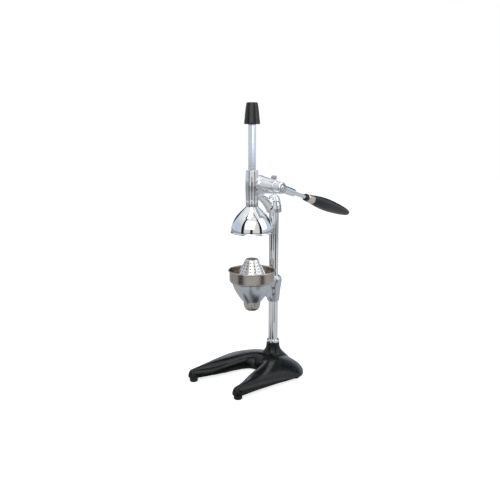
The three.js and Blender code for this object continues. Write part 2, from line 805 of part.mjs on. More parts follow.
// At rest a gap of the pinion faces the rack's tooth at shaft height.
function pinionGear() {
  const flank = involuteFlank(3);
  const shape = new THREE.Shape();
  const outline = [];
  for (let k = 0; k < pinionTeeth; k += 1) {
    const middle = (2 * Math.PI * (k + 0.5)) / pinionTeeth + Math.PI;
    for (const [radius, turn] of flank) outline.push([radius, middle - turn]);
    for (const [radius, turn] of [...flank].reverse()) outline.push([radius, middle + turn]);
  }
  outline.forEach(([radius, angle], i) => {
    const [y, z] = [-shaftReach + radius * Math.cos(angle), shaftHeight + radius * Math.sin(angle)];
    if (i === 0) shape.moveTo(y, z);
    else shape.lineTo(y, z);
  });
  const bore = rod(shaftRadius + seatGap, -pinionWidth, pinionWidth, shaftPlace, sideways);
  return cut(slab(shape, pinionWidth, 0), bore, keyRoom(seatGap));
}

// Rack, cap and bell

function rackBar() {
  const foot = bellNeckTop - rackSeatDepth + seatGap;
  const top = capFoot + rackSeatDepth;
  const bar = block(rackSide, rackSide, top - foot, 0, -ramReach, (top + foot) / 2);
  const back = -ramReach + rackSide / 2;
  const teethAbove = Math.ceil((ramTravel + 1.5 * toothPitch) / toothPitch);
  const teethBelow = 2;
  const width = pinionWidth + 2 * runningGap;
  const spaces = [];
  for (let k = -teethBelow; k < teethAbove; k += 1) {
    const z = shaftHeight + (k + 0.5) * toothPitch;
    const halfPitch = toothPitch / 4 + toothBacklash / 4;
    const mouth = halfPitch + toothModule * Math.tan(pressureAngle);
    const bottom = halfPitch - toothFoot * Math.tan(pressureAngle);
    const slope = Math.tan(pressureAngle) * overrun;
    const shape = new THREE.Shape();
    shape.moveTo(back + overrun, z - mouth - slope);
    shape.lineTo(back + overrun, z + mouth + slope);
    shape.lineTo(back - toothModule - toothFoot, z + bottom);
    shape.lineTo(back - toothModule - toothFoot, z - bottom);
    spaces.push(slab(shape, width, 0));
  }
  const axis = onAxis(ramReach);
  const boreEnd = foot + bellScrewLength;
  const screwBore = rod(bellScrewShank + seatGap, foot - overrun, boreEnd, axis, up, smallSides);
  return cut(bar, join(...spaces), screwBore);
}

function rackCap() {
  const top = capFoot + capHeight;
  const [lowShare, highShare] = capSideShares;
  const side = bezier(
    [
      [capFootRadius, capFoot + capEdge],
      [capFootRadius - capEdge, capFoot + lowShare * capHeight],
      [capTopRadius + capEdge, capFoot + highShare * capHeight],
      [capTopRadius, top - capEdge],
    ],
    6,
  );
  const profile = [
    [0, capFoot],
    [capFootRadius - capEdge, capFoot],
    ...side,
    [capTopRadius - capEdge, top],
    [0, top],
  ];
  const hole = rackSide + 2 * seatGap;
  const depth = rackSeatDepth + seatGap;
  const socket = block(hole, hole, depth + overrun, 0, -ramReach, capFoot + (depth - overrun) / 2);
  return cut(turned(profile, onAxis(ramReach), up), socket);
}

function bell() {
  const [radiusShare, heightShare] = bellShoulderShares;
  const outer = bezier(
    [
      [bellRadius - bellRimBead / 2, bellRim + 3 * bellRimBead],
      [bellRadius - bellRimBead, bellRim + bellFlankShare * bellHeight],
      [radiusShare * bellRadius, bellRim + heightShare * bellHeight],
      [neckRadius, bellNeckFoot],
    ],
    10,
  );
  const cavityTop = bellRim + bellCavityHeight;
  const inner = bezier(
    [
      [0, cavityTop],
      [bellCrownShare * bellRadius, cavityTop],
      [bellRadius - bellWall - bellRimBead, bellRim + bellCavityFlankShare * bellCavityHeight],
      [bellRadius - bellWall, bellRim],
    ],
    10,
  );
  const profile = [
    ...inner,
    [bellRadius, bellRim],
    [bellRadius + bellRimBead, bellRim + bellRimBead],
    ...outer,
    [neckRadius, bellNeckTop - neckEdge],
    [neckRadius - neckEdge, bellNeckTop],
    [0, bellNeckTop],
  ];
  const hole = rackSide + 2 * seatGap;
  const seatMiddle = bellNeckTop - (rackSeatDepth - overrun) / 2;
  const seat = block(hole, hole, rackSeatDepth + overrun, 0, -ramReach, seatMiddle);
  const axis = onAxis(ramReach);
  const screwBore = rod(bellScrewShank + seatGap, bellRim, bellNeckTop, axis, up, smallSides);
  const headRoom = rod(bellScrewRadius + seatGap, bellRim, cavityTop + bellScrewHead, axis, up);
  return cut(turned(profile, axis, up, fineSides), seat, screwBore, headRoom);
}

function bellScrew() {
  const axis = onAxis(ramReach);
  const seat = bellRim + bellCavityHeight + bellScrewHead - seatGap;
  const head = turned(
    [
      [0, seat - bellScrewHead],
      [screwHeadTopShare * bellScrewRadius, seat - bellScrewHead],
      [bellScrewRadius, seat - bellScrewHead / 2],
      [bellScrewRadius, seat],
      [0, seat],
    ],
    axis, up,
  );
  const shankEnd = bellNeckTop - rackSeatDepth + bellScrewLength - screwTipGap;
  return join(head, rod(bellScrewShank, seat - bellScrewHead / 2, shankEnd, axis, up, smallSides));
}

// Lever

function leverHub() {
  const half = hubWidth / 2;
  const [lowShare, highShare] = hubDomeShares;
  const dome = bezier(
    [[hubEyeRadius, lowShare * half], [hubEyeRadius, highShare * half], [hubFaceRadius, half]],
    3,
  );
  const eye = turned([[0, -half], [hubEyeRadius, -half], ...dome, [0, half]], leverPlace, sideways);
  const socket = turned(
    [
      [0, 0],
      [leverSocketRadius, 0],
      [leverSocketRadius, leverSocketTaperShare * leverSocketEnd],
      [leverSocketTipRadius, leverSocketEnd - leverSocketEdge],
      [leverSocketTipRadius - leverSocketEdge, leverSocketEnd],
      [0, leverSocketEnd],
    ],
    leverPlace, leverDirection,
  );
  const hole = squareSide + 2 * seatGap;
  const square = block(hubWidth + 2 * overrun, hole, hole, leverPlace.x, leverPlace.y, leverPlace.z);
  const rodBoreStart = leverRodStart - seatGap;
  const rodBore = rod(leverBoreRadius, rodBoreStart, leverSocketEnd + overrun, leverPlace, leverDirection);
  const screwBoreEnd = leverSocketRadius + overrun;
  const screwPlace = leverScrewPlace();
  const underside = leverUnderside();
  const screwBore = rod(screwBoreRadius, leverRodRadius, screwBoreEnd, screwPlace, underside, smallSides);
  const recess = rod(endScrewRadius + 2 * seatGap, screwSeat, hubFace + overrun, shaftPlace, sideways);
  return cut(join(eye, socket), square, recess, rodBore, screwBore);
}

function leverUnderside() {
  return new THREE.Vector3(0, -Math.sin(leverAngle), -Math.cos(leverAngle));
}

function leverScrewPlace() {
  return leverPlace.clone().addScaledVector(leverDirection, (leverRodStart + leverSocketEnd) / 2);
}

function leverSetScrew() {
  const length = leverSocketTipRadius - leverBoreRadius - setScrewSink / 2;
  return setScrew(leverScrewPlace(), leverUnderside(), leverBoreRadius, length);
}

function leverRod() {
  return rod(leverRodRadius, leverRodStart, gripStart + leverRodGripDepth, leverPlace, leverDirection);
}

function gripCollar() {
  const end = gripCollarStart + gripCollarLength;
  const inner = leverBoreRadius;
  const profile = [
    [inner, gripCollarStart],
    [gripCollarRadius - gripCollarEdge, gripCollarStart],
    [gripCollarRadius, gripCollarStart + gripCollarEdge],
    [gripCollarRadius, end - gripCollarEdge],
    [gripCollarRadius - gripCollarEdge, end],
    [inner, end],
  ];
  return turned(profile, leverPlace, leverDirection);
}

function gripFerrule() {
  const end = ferruleStart + ferruleLength;
  const inner = leverBoreRadius;
  const profile = [
    [inner, ferruleStart],
    [ferruleRadius - ferruleEdge, ferruleStart],
    [ferruleRadius, ferruleStart + ferruleEdge],
    [ferruleRadius + ferruleEdge, end],
    [inner, end],
  ];
  return turned(profile, leverPlace, leverDirection);
}

function grip() {
  const length = leverLength - gripStart;
  const swell = gripShares.map(([radiusShare, lengthShare]) => [
    radiusShare * gripMaxRadius,
    gripStart + lengthShare * length,
  ]);
  const side = smooth([[gripNeckRadius, gripStart], ...swell], 12);
  const body = turned([[0, gripStart], ...side, [0, leverLength]], leverPlace, leverDirection, fineSides);
  const boreEnd = gripStart + leverRodGripDepth + seatGap;
  const bore = rod(leverBoreRadius, gripStart - overrun, boreEnd, leverPlace, leverDirection);
  return cut(body, bore);
}

function endWasher() {
  const start = screwSeat + seatGap;
  const end = start + endWasherThickness;
  return ring(endScrewShank + seatGap, endScrewRadius, start, end, shaftPlace, sideways);
}

function endScrew() {
  const seat = screwSeat + endWasherThickness + 2 * seatGap;
  const shankStart = screwSeat - endScrewLength + seatGap;
  const shank = rod(endScrewShank, shankStart, seat, shaftPlace, sideways, smallSides);
  const top = seat + endScrewHead;
  const dome = bezier([[endScrewRadius, seat], [endScrewRadius, top], [endScrewRadius / 2, top]], 4);
  const head = turned([[0, seat], ...dome, [0, top]], shaftPlace, sideways);
  const socketRoom = endScrewSocketShare * endScrewRadius;
  const socketFloor = seat + endScrewHead / 2;
  const socket = rod(socketRoom, socketFloor, top + overrun, shaftPlace, sideways, hexSides);
  return cut(join(shank, head), socket);
}

// Cup holder, funnel and reamer

// Radius of the holder's outside, from its top down to its foot.
function holderSide(steps, inset, footInset) {
  const [radiusShare, heightShare] = holderFlankShares;
  return bezier(
    [
      [holderTopRadius - inset, holderTop],
      [radiusShare * holderTopRadius - inset, holderTop - heightShare * holderHeight],
      [holderFootRadius - footInset, holderFoot],
    ],
    steps,
  );
}

function holderWeb() {
  const start = -ramReach + holderFootRadius;
  const end = -columnRadius;
  const shape = new THREE.Shape();
  const bend = holderWebBendShare * (start + end);
  const top = holderTop - holderWebInset;
  shape.moveTo(start, holderFoot);
  shape.quadraticCurveTo(bend, holderFoot + holderWebThickness / 2, end, sleeveFoot + holderWall);
  shape.lineTo(end, top);
  shape.lineTo(start, top);
  return slab(shape, holderWebThickness, 0);
}

function sleeveBody() {
  const top = sleeveFoot + sleeveHeight;
  const swell = sleeveShares.map(([radiusShare, heightShare]) => [
    radiusShare * sleeveRadius,
    sleeveFoot + heightShare * sleeveHeight,
  ]);
  const foot = [sleeveFootShare * sleeveRadius, sleeveFoot];
  const crown = [sleeveTopShare * sleeveRadius, top];
  return turned([[0, sleeveFoot], foot, ...smooth(swell, 8), crown, [0, top]], onAxis(0), up);
}

function holderScrewDirection() {
  return new THREE.Vector3(Math.sin(holderScrewTurn), -Math.cos(holderScrewTurn), 0);
}

function holderScrewPlace(share) {
  return onAxis(0, sleeveFoot + share * sleeveHeight);
}

function cupHolder() {
  const bowlProfile = [[0, holderFoot], [0, holderTop], ...holderSide(5, 0, 0)];
  const bowl = turned(bowlProfile, onAxis(ramReach), up, fineSides);
  const hollow = turned(
    [
      [0, holderTop + overrun],
      [holderTopRadius - holderWall, holderTop + overrun],
      ...holderSide(5, holderWall, holderFootWall),
      [holderFootRadius - holderFootWall, holderFoot - overrun],
      [0, holderFoot - overrun],
    ],
    onAxis(ramReach), up, fineSides,
  );
  const boreEnd = sleeveFoot + sleeveHeight + overrun;
  const bore = rod(columnBoreRadius, sleeveFoot - overrun, boreEnd, onAxis(0), up, fineSides);
  const screwBoreEnd = sleeveRadius + overrun;
  const direction = holderScrewDirection();
  const screwBores = holderScrewPlaceShares.map((share) =>
    rod(screwBoreRadius, columnRadius, screwBoreEnd, holderScrewPlace(share), direction, smallSides),
  );
  return cut(join(bowl, holderWeb(), sleeveBody()), hollow, bore, ...screwBores);
}

function holderScrew(share) {
  return setScrew(holderScrewPlace(share), holderScrewDirection(), columnBoreRadius, holderScrewLength);
}

function juiceFunnel() {
  const ledgeHeight = holderTop + seatGap;
  const beadCentre = funnelRimHeight - rimBeadRadius;
  const corner = funnelBandRadius - holderTopRadius;
  const bead = [];
  const beadSteps = 4;
  for (let i = 0; i <= beadSteps; i += 1) {
    const angle = -Math.PI / 2 + (rimBeadTurn * i) / beadSteps;
    const radius = funnelRimRadius - rimBeadRadius + rimBeadRadius * Math.cos(angle);
    bead.push([radius, beadCentre + rimBeadRadius * Math.sin(angle)]);
  }
  const coneGap = holderWall + seatGap;
  const footGap = holderFootWall + seatGap;
  const outside = holderSide(4, coneGap, footGap).reverse();
  const inside = holderSide(4, coneGap + funnelWall, footGap + funnelWall);
  const spoutTop = holderFoot;
  const spoutFoot = holderFoot - spoutLength;
  const spoutRadius = holderFootRadius - footGap;
  const spout = bezier(
    [[spoutRadius, spoutTop], [spoutRadius, spoutFoot + spoutLength / 4], [spoutMouthRadius, spoutFoot]],
    4,
  );
  const cornerOut = bezier(
    [
      [holderTopRadius, ledgeHeight],
      [funnelBandRadius, ledgeHeight],
      [funnelBandRadius, ledgeHeight + corner],
    ],
    3,
  );
  const cornerIn = cornerOut.map(([radius, height]) => [radius - funnelWall, height + funnelWall]).reverse();
  const profile = [
    ...[...spout].reverse(),
    ...outside.slice(1),
    ...cornerOut,
    [funnelBandRadius, beadCentre - rimBeadRadius],
    ...bead,
    [funnelBandRadius - funnelWall, beadCentre],
    ...cornerIn,
    [holderTopRadius - coneGap - funnelWall, ledgeHeight + funnelWall],
    ...inside.slice(1, -1),
    ...spout.map(([radius, height]) => [radius - funnelWall, height]),
  ];
  return turned(profile, onAxis(ramReach), up, fineSides);
}

// Radius of the cone at a height above its foot, on a rib or on the flat panel between two.
function reamerRadius(height, onRib) {
  const share = height / reamerHeight;
  const plain = THREE.MathUtils.lerp(reamerFootRadius, reamerTopRadius, share);
  const [footFade, topFade] = reamerFadeShares;
  const fade = Math.min(1, (1 - share) / topFade) * Math.min(1, share / footFade);
  return plain * (1 + (onRib ? reamerRibShare * fade : 0));
}

function reamerRing(height, level, wall) {
  const points = [];
  const between = (2 * Math.PI) / reamerRibs;
  for (let rib = 0; rib < reamerRibs; rib += 1) {
    const middle = (rib + 0.5) * between;
    const corners = [[-reamerRibTurn, false], [0, true], [reamerRibTurn, false], [between / 2, false]];
    for (const [turn, onRib] of corners) {
      const angle = middle + turn;
      const radius = reamerRadius(level, onRib) - wall;
      points.push(new THREE.Vector3(radius * Math.sin(angle), -ramReach - radius * Math.cos(angle), height));
    }
  }
  return points;
}

function reamerShell(foot) {
  const levels = reamerLevelShares.map((share) => share * reamerHeight);
  const outside = loft(levels.map((level) => reamerRing(foot + level, level, 0)));
  const lowest = reamerRing(foot - overrun, 0, reamerWall);
  const roof = reamerHeight - reamerWall;
  const highest = reamerRing(foot + roof, roof, reamerWall);
  const middle = levels.slice(0, -1).map((level) => reamerRing(foot + level, level, reamerWall));
  return cut(outside, loft([lowest, ...middle, highest]));
}

// Two columns of holes in each panel between the ribs.
function reamerHoles(foot) {
  const columns = 2 * reamerRibs;
  const slope = Math.atan2(reamerFootRadius - reamerTopRadius, reamerHeight);
  const holes = [];
  for (let row = 0; row < reamerHoleRows; row += 1) {
    const level = reamerHeight - reamerTopMargin - row * reamerHolePitch;
    const radius = reamerRadius(level, false);
    for (let column = 0; column < columns; column += 1) {
      const angle = (2 * Math.PI * (column + 0.5)) / columns;
      const flat = new THREE.Vector3(Math.sin(angle), -Math.cos(angle), 0);
      const outward = flat.clone().multiplyScalar(Math.cos(slope)).addScaledVector(up, Math.sin(slope));
      const place = onAxis(ramReach, foot + level).addScaledVector(flat, radius);
      holes.push(rod(reamerHoleRadius, -overrun, overrun, place, outward, hexSides));
    }
  }
  return holes;
}

function reamerStrainer() {
  const foot = holderTop + 2 * seatGap + funnelWall;
  const inner = reamerFootRadius - reamerWall;
  const outer = holderTopRadius - reamerWall;
  const flange = ring(inner, outer, foot, foot + reamerWall, onAxis(ramReach), up, fineSides);
  return cut(join(reamerShell(foot), flange), join(...reamerHoles(foot)));
}

// Materials

function material(color, roughness, metalness) {
  return new THREE.MeshStandardMaterial({ color, roughness, metalness });
}

const blackEnamel = material("#16181a", 0.25, 0);
const blackRubber = material("#101010", 0.9, 0);
const chrome = material("#dfe3e6", 0.08, 1);
const satinChrome = material("#b9c2c8", 0.32, 1);
const steel = material("#b5b0a8", 0.3, 1);
const darkSteel = material("#6d6f72", 0.45, 1);
const bronze = material("#a9825a", 0.4, 1);
const blackPlastic = material("#121314", 0.3, 0);
const nickel = material("#cbbfae", 0.25, 1);

function piece(name, manifold, surface) {
  const mesh = new THREE.Mesh(geometryOf(manifold), surface.clone());
  mesh.name = name;
  return mesh;
}

function standGroup() {
  const group = new THREE.Group();
  group.add(piece("base_casting", baseCasting(), blackEnamel));
  const feet = [...frontFootPlaces(), ...rearFootPlaces()];
  const names = ["front_left_foot", "front_right_foot", "rear_left_foot", "rear_right_foot"];
  feet.forEach((place, i) => group.add(piece(names[i], foot(place), blackRubber)));
  group.add(piece("column_collar", columnCollar(), chrome));
  group.add(piece("column_tube", columnTube(), chrome));
  group.add(piece("tie_rod", tieRod(), darkSteel));
  group.add(piece("tie_rod_washer", tieWasher(), darkSteel));
  group.add(piece("tie_rod_nut", tieNut(), darkSteel));
  return group;
}

function headGroup() {
  const group = new THREE.Group();
  group.add(piece("head_casting", headCasting(), chrome));
  group.add(piece("head_set_screw", headSetScrew(), darkSteel));
  group.add(piece("gear_cover", gearCover(), chrome));
  coverScrewPlaces().forEach((place, i) => {
    group.add(piece(`cover_screw_${i + 1}`, coverScrew(place), steel));
  });
  group.add(piece("barrel_bush", barrelBush(), bronze));
  group.add(piece("cover_bush", coverBush(), bronze));
  return group;
}

function leverGroup() {
  const group = new THREE.Group();
  group.add(piece("pinion_shaft", pinionShaft(), steel));
  group.add(piece("pinion_key", pinionKey(), darkSteel));
  group.add(piece("pinion_gear", pinionGear(), darkSteel));
  group.add(piece("pinion_spacer", pinionSpacer(), steel));
  group.add(piece("lever_hub", leverHub(), chrome));
  group.add(piece("lever_set_screw", leverSetScrew(), darkSteel));
  group.add(piece("shaft_end_washer", endWasher(), chrome));
  group.add(piece("shaft_end_screw", endScrew(), chrome));
  group.add(piece("lever_rod", leverRod(), chrome));
  group.add(piece("grip_collar", gripCollar(), blackPlastic));
  group.add(piece("grip_ferrule", gripFerrule(), nickel));
  group.add(piece("lever_grip", grip(), blackPlastic));
  return group;
}

function ramGroup() {
  const group = new THREE.Group();
  group.add(piece("rack_bar", rackBar(), chrome));
  group.add(piece("rack_cap", rackCap(), blackPlastic));
  group.add(piece("press_bell", bell(), chrome));
  group.add(piece("bell_screw", bellScrew(), steel));
  return group;
}

function cupGroup() {
  const group = new THREE.Group();
  group.add(piece("cup_holder", cupHolder(), satinChrome));
  holderScrewPlaceShares.forEach((share, i) => {
    group.add(piece(`holder_screw_${i + 1}`, holderScrew(share), darkSteel));
  });
  group.add(piece("juice_funnel", juiceFunnel(), steel));
  group.add(piece("reamer_strainer", reamerStrainer(), steel));
  return group;
}

// The origin is on the table, midway between the front of the feet and the tip of the lever.
function assemble() {
  const press = new THREE.Group();
  press.add(standGroup(), headGroup(), leverGroup(), ramGroup(), cupGroup());
  const box = new THREE.Box3().setFromObject(press);
  press.position.y = -(box.min.y + box.max.y) / 2;
  const part = new THREE.Group();
  part.add(press);
  return part;
}

export default assemble();
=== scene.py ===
import itertools
import json
import math

import bmesh
import bpy
import numpy as np
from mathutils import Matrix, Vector

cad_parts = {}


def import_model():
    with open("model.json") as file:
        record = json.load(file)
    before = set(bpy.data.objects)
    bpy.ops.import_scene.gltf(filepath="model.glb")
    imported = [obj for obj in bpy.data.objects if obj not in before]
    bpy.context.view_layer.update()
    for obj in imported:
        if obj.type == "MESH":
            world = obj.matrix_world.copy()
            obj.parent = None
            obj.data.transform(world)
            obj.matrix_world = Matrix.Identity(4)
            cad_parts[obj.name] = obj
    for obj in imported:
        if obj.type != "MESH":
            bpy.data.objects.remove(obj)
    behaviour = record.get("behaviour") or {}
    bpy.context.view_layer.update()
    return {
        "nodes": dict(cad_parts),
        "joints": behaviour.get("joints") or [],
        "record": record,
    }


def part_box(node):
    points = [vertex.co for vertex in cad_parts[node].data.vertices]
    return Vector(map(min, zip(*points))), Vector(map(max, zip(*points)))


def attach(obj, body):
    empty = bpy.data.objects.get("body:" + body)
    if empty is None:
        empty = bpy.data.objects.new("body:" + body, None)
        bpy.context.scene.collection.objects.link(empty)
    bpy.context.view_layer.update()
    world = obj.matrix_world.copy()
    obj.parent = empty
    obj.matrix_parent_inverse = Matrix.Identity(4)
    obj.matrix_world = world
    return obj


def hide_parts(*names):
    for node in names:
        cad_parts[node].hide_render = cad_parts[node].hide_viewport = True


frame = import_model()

# Looks of a lever citrus press, in metres, +Z up, front at -Y, lever at +X

MM = 0.001

# Camera, fitted to the photograph
CAMERA_AZIMUTH = math.radians(39.98)
CAMERA_DISTANCE = 1.5625
CAMERA_HEIGHT = 0.6303
CAMERA_PITCH = math.radians(11.41)
CAMERA_YAW = math.radians(-2.254)
CAMERA_LENS = 44.09
CAMERA_SENSOR = 36.0

# Fineness of the meshes
WIDE_SIDES = 192
ROUND_SIDES = 128
RING_SIDES = 96
KNOB_SIDES = 64
SMALL_SIDES = 48
BORE_SIDES = 32
SCREW_SIDES = 24
HOLE_SIDES = 20
HEXAGON_SIDES = 6
TINY = 1e-7
SHARP_ANGLE = 35

# Roundings and clearances
EDGE = 0.4 * MM  # machined edges
SOFT_EDGE = 1 * MM
CAST_EDGE = 1.5 * MM
GAP = 0.3 * MM  # between pieces that rest on or sit in each other
OVERRUN = 1 * MM  # of a short cut
BEYOND = 250 * MM  # overrun of a cut that runs right through

# Places from the frame
JOINTS = {joint["name"]: joint for joint in frame["joints"]}
SHAFT = Vector(JOINTS["lever_turn"]["pos_m"])
UP = Vector((0, 0, 1))
SIDEWAYS = Vector((1, 0, 0))
AWAY = Vector((-1, 0, 0))
BACKWARDS = Vector((0, 1, 0))


def middle(node):
    low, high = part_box(node)
    return (low + high) / 2


COLUMN_Y = middle("column_tube").y
RAM_Y = middle("rack_bar").y
COLUMN_AXIS = (0, COLUMN_Y, 0)
RAM_AXIS = (0, RAM_Y, 0)
SHAFT_AXIS = (0, SHAFT.y, SHAFT.z)


def mix(a, b, share):
    return a + (b - a) * share


# Outlines as lists of (radius, distance) pairs

def bend_point(points, share):
    """A point of the curve that starts and ends at the outer points and leans to the others."""
    row = [np.array(point, float) for point in points]
    while len(row) > 1:
        row = [a * (1 - share) + b * share for a, b in zip(row, row[1:])]
    return tuple(map(float, row[0]))


def bezier(points, steps):
    return [bend_point(points, share) for share in np.linspace(0, 1, steps + 1)]


def through(points, steps):
    """A smooth curve through the points."""
    points = [np.array(point, float) for point in points]
    padded = [points[0], *points, points[-1]]
    result = []
    for place in np.linspace(0, len(points) - 1, steps + 1):
        k = min(int(place), len(points) - 2)
        a, b, c, d = padded[k:k + 4]
        result.append(bend_point([b, b + (c - a) / 6, c - (d - b) / 6, c], place - k))
    return result


def rounded(corners, steps=4):
    """Corners are (radius, distance) or (radius, distance, rounding)."""
    result = []
    for k, corner in enumerate(corners):
        here = np.array(corner[:2], float)
        size = corner[2] if len(corner) > 2 else 0
        if not size:
            result.append(tuple(map(float, here)))
            continue
        before = np.array(corners[k - 1][:2], float) - here
        after = np.array(corners[(k + 1) % len(corners)][:2], float) - here
        start, end = (here + way * min(size / np.linalg.norm(way), 0.5) for way in (before, after))
        result += bezier([start, here, end], steps)
    return result


def ring(inner, outer, start, end, edge=0):
    return rounded([(inner, start), (outer, start, edge), (outer, end, edge), (inner, end)])


def rod(radius, start, end, edge=0):
    return ring(0, radius, start, end, edge)


# Meshes

def add_object(name, data):
    piece = bpy.data.objects.new(name, data)
    bpy.context.scene.collection.objects.link(piece)
    return piece


def mesh_object(name, vertices, faces, sharp=SHARP_ANGLE):
    mesh = bpy.data.meshes.new(name)
    mesh.from_pydata([tuple(vertex) for vertex in vertices], [], [tuple(face) for face in faces])
    work = bmesh.new()
    work.from_mesh(mesh)
    bmesh.ops.remove_doubles(work, verts=work.verts, dist=TINY)
    bmesh.ops.recalc_face_normals(work, faces=work.faces)
    work.to_mesh(mesh)
    work.free()
    piece = add_object(name, mesh)
    shade(piece, sharp)
    return piece


def shade(piece, sharp=SHARP_ANGLE):
    piece.data.shade_smooth()
    piece.data.set_sharp_from_angle(angle=math.radians(sharp))


def lathe(name, profile, place, direction, sides=ROUND_SIDES):
    """A closed profile turned about the line from place along direction."""
    direction = Vector(direction).normalized()
    side = direction.orthogonal().normalized()
    other = direction.cross(side)
    vertices, rows, faces = [], [], []
    for radius, distance in profile:
        centre = Vector(place) + direction * distance
        if radius < TINY:
            rows.append([len(vertices)] * sides)
            vertices.append(centre)
            continue
        rows.append(list(range(len(vertices), len(vertices) + sides)))
        for k in range(sides):
            angle = 2 * math.pi * k / sides
            vertices.append(centre + radius * (math.cos(angle) * side + math.sin(angle) * other))
    for lower, upper in zip(rows, rows[1:] + rows[:1]):
        for k in range(sides):
            corners = [lower[k], lower[(k + 1) % sides], upper[(k + 1) % sides], upper[k]]
            corners = list(dict.fromkeys(corners))
            if len(corners) > 2:
                faces.append(corners)
    return mesh_object(name, vertices, faces)


def block(name, corners):
    """A solid with six sides. The last coordinate of its corners changes first."""
    faces = [(0, 1, 3, 2), (4, 6, 7, 5), (0, 4, 5, 1), (2, 3, 7, 6), (0, 2, 6, 4), (1, 5, 7, 3)]
    return mesh_object(name, corners, faces)


def box_object(name, low, high):
    return block(name, itertools.product(*zip(low, high)))


def apply_modifiers(piece):
    graph = bpy.context.evaluated_depsgraph_get()
    mesh = bpy.data.meshes.new_from_object(piece.evaluated_get(graph))
    piece.modifiers.clear()
    piece.data = mesh


def add_bevel(piece, width, segments=3, angle=30):
    bevel = piece.modifiers.new("edges", "BEVEL")
    bevel.width = width
    bevel.segments = segments
    bevel.limit_method = "ANGLE"
    bevel.angle_limit = math.radians(angle)
    apply_modifiers(piece)
    shade(piece)


def combine(piece, *tools, operation="DIFFERENCE", sharp=SHARP_ANGLE):
    for tool in tools:
        step = piece.modifiers.new("combine", "BOOLEAN")
        step.operation = operation
        step.solver = "EXACT"
        step.object = tool
        apply_modifiers(piece)
        bpy.data.objects.remove(tool)
    shade(piece, sharp)
    return piece


def merge(name, pieces):
    """One object from several, without joining their surfaces."""
    work = bmesh.new()
    for piece in pieces:
        work.from_mesh(piece.data)
        bpy.data.objects.remove(piece)
    mesh = bpy.data.meshes.new(name)
    work.to_mesh(mesh)
    work.free()
    return add_object(name, mesh)


# Castings as smooth fields: negative inside, positive outside

FIELD_BLOCK = 4
FIELD_PASSES = 3
LEAST_SLOPE = 0.05
FIELD_MARGIN = Vector((3 * MM, 3 * MM, 3 * MM))
CUT_EDGE = 0.5 * MM


def union(a, b, radius):
    share = np.clip(0.5 + 0.5 * (b - a) / radius, 0, 1)
    return b * (1 - share) + a * share - radius * share * (1 - share)


def overlap(a, b, radius):
    return -union(-a, -b, radius)


def without(shape, *cuts):
    for cut in cuts:
        shape = overlap(shape, -cut, CUT_EDGE)
    return shape


def outline_field(u, v, outline, on_axis=False):
    """Distance to a closed outline of (u, v) corners, negative inside."""
    nearest = np.full(u.shape, np.inf)
    sign = np.ones(u.shape)
    for k in range(len(outline)):
        ax, ay = outline[k]
        bx, by = outline[k - 1]
        ex, ey = bx - ax, by - ay
        wx, wy = u - ax, v - ay
        if not (on_axis and max(abs(ax), abs(bx)) < TINY):
            share = np.clip((wx * ex + wy * ey) / max(ex * ex + ey * ey, TINY**2), 0, 1)
            nearest = np.minimum(nearest, (wx - ex * share) ** 2 + (wy - ey * share) ** 2)
        above, below, left = v >= ay, v < by, ex * wy > ey * wx
        flip = (above & below & left) | (~above & ~below & ~left)
        sign = np.where(flip, -sign, sign)
    return sign * np.sqrt(nearest)


def turned_field(points, profile, place, direction):
    """Distance to a profile of (radius, distance) pairs turned about a line."""
    offset = points - np.array(place, float)
    along = offset @ np.array(direction, float)
    radius = np.linalg.norm(offset - along[..., None] * np.array(direction, float), axis=-1)
    return outline_field(radius, along, profile, on_axis=True)


def rod_field(points, radius, start, end, place, direction):
    return turned_field(points, rod(radius, start, end), place, direction)


def box_field(points, centre, half):
    reach = np.abs(points - np.array(centre, float)) - np.array(half, float)
    outside = np.linalg.norm(np.maximum(reach, 0), axis=-1)
    return outside + np.minimum(reach.max(axis=-1), 0)


def slab_field(points, across, centre, outline, half, edge):
    """An outline of (across, up) corners, twice half thick. Across is 0 for X and 1 for Y."""
    flat = outline_field(points[..., across], points[..., 2], outline)
    return overlap(flat, np.abs(points[..., 1 - across] - centre) - half, edge)


def field_object(name, field, low, high, step):
    """A mesh on the surface where the field is zero."""
    low = np.array(low, float)
    shape = np.ceil((np.array(high, float) - low) / step / FIELD_BLOCK).astype(int) * FIELD_BLOCK
    values = sample(field, low, shape, step)
    inside = values < 0
    corners = list(itertools.product((0, 1), repeat=3))
    count = sum(inside[i:shape[0] - 1 + i, j:shape[1] - 1 + j, k:shape[2] - 1 + k].astype(int)
                for i, j, k in corners)
    cells = np.argwhere((count > 0) & (count < len(corners)))
    index = -np.ones(shape, int)
    index[tuple(cells.T)] = np.arange(len(cells))
    total, hits = np.zeros((len(cells), 3)), np.zeros(len(cells))
    for start in corners:
        for axis in range(3):
            if start[axis]:
                continue
            along = np.eye(3, dtype=int)[axis]
            a = values[tuple((cells + start).T)]
            b = values[tuple((cells + start + along).T)]
            crossing = (a < 0) != (b < 0)
            share = np.where(crossing, a / np.where(crossing, a - b, 1), 0)
            total += (cells + start + share[:, None] * along) * crossing[:, None]
            hits += crossing
    vertices = total / hits[:, None] * step + low
    quads = []
    for axis in range(3):
        along, u, v = np.roll(np.eye(3, dtype=int), -axis, axis=0)
        edges = np.argwhere(inside != np.roll(inside, -1, axis))
        edges = edges[edges[:, axis] < shape[axis] - 1]
        around_edge = np.stack([index[tuple((edges - shift).T)] for shift in (u + v, v, 0 * u, u)], 1)
        forward = inside[tuple(edges.T)]
        quads.append(np.where(forward[:, None], around_edge, around_edge[:, ::-1]))
    return smooth_object(name, field, vertices, np.concatenate(quads), step)


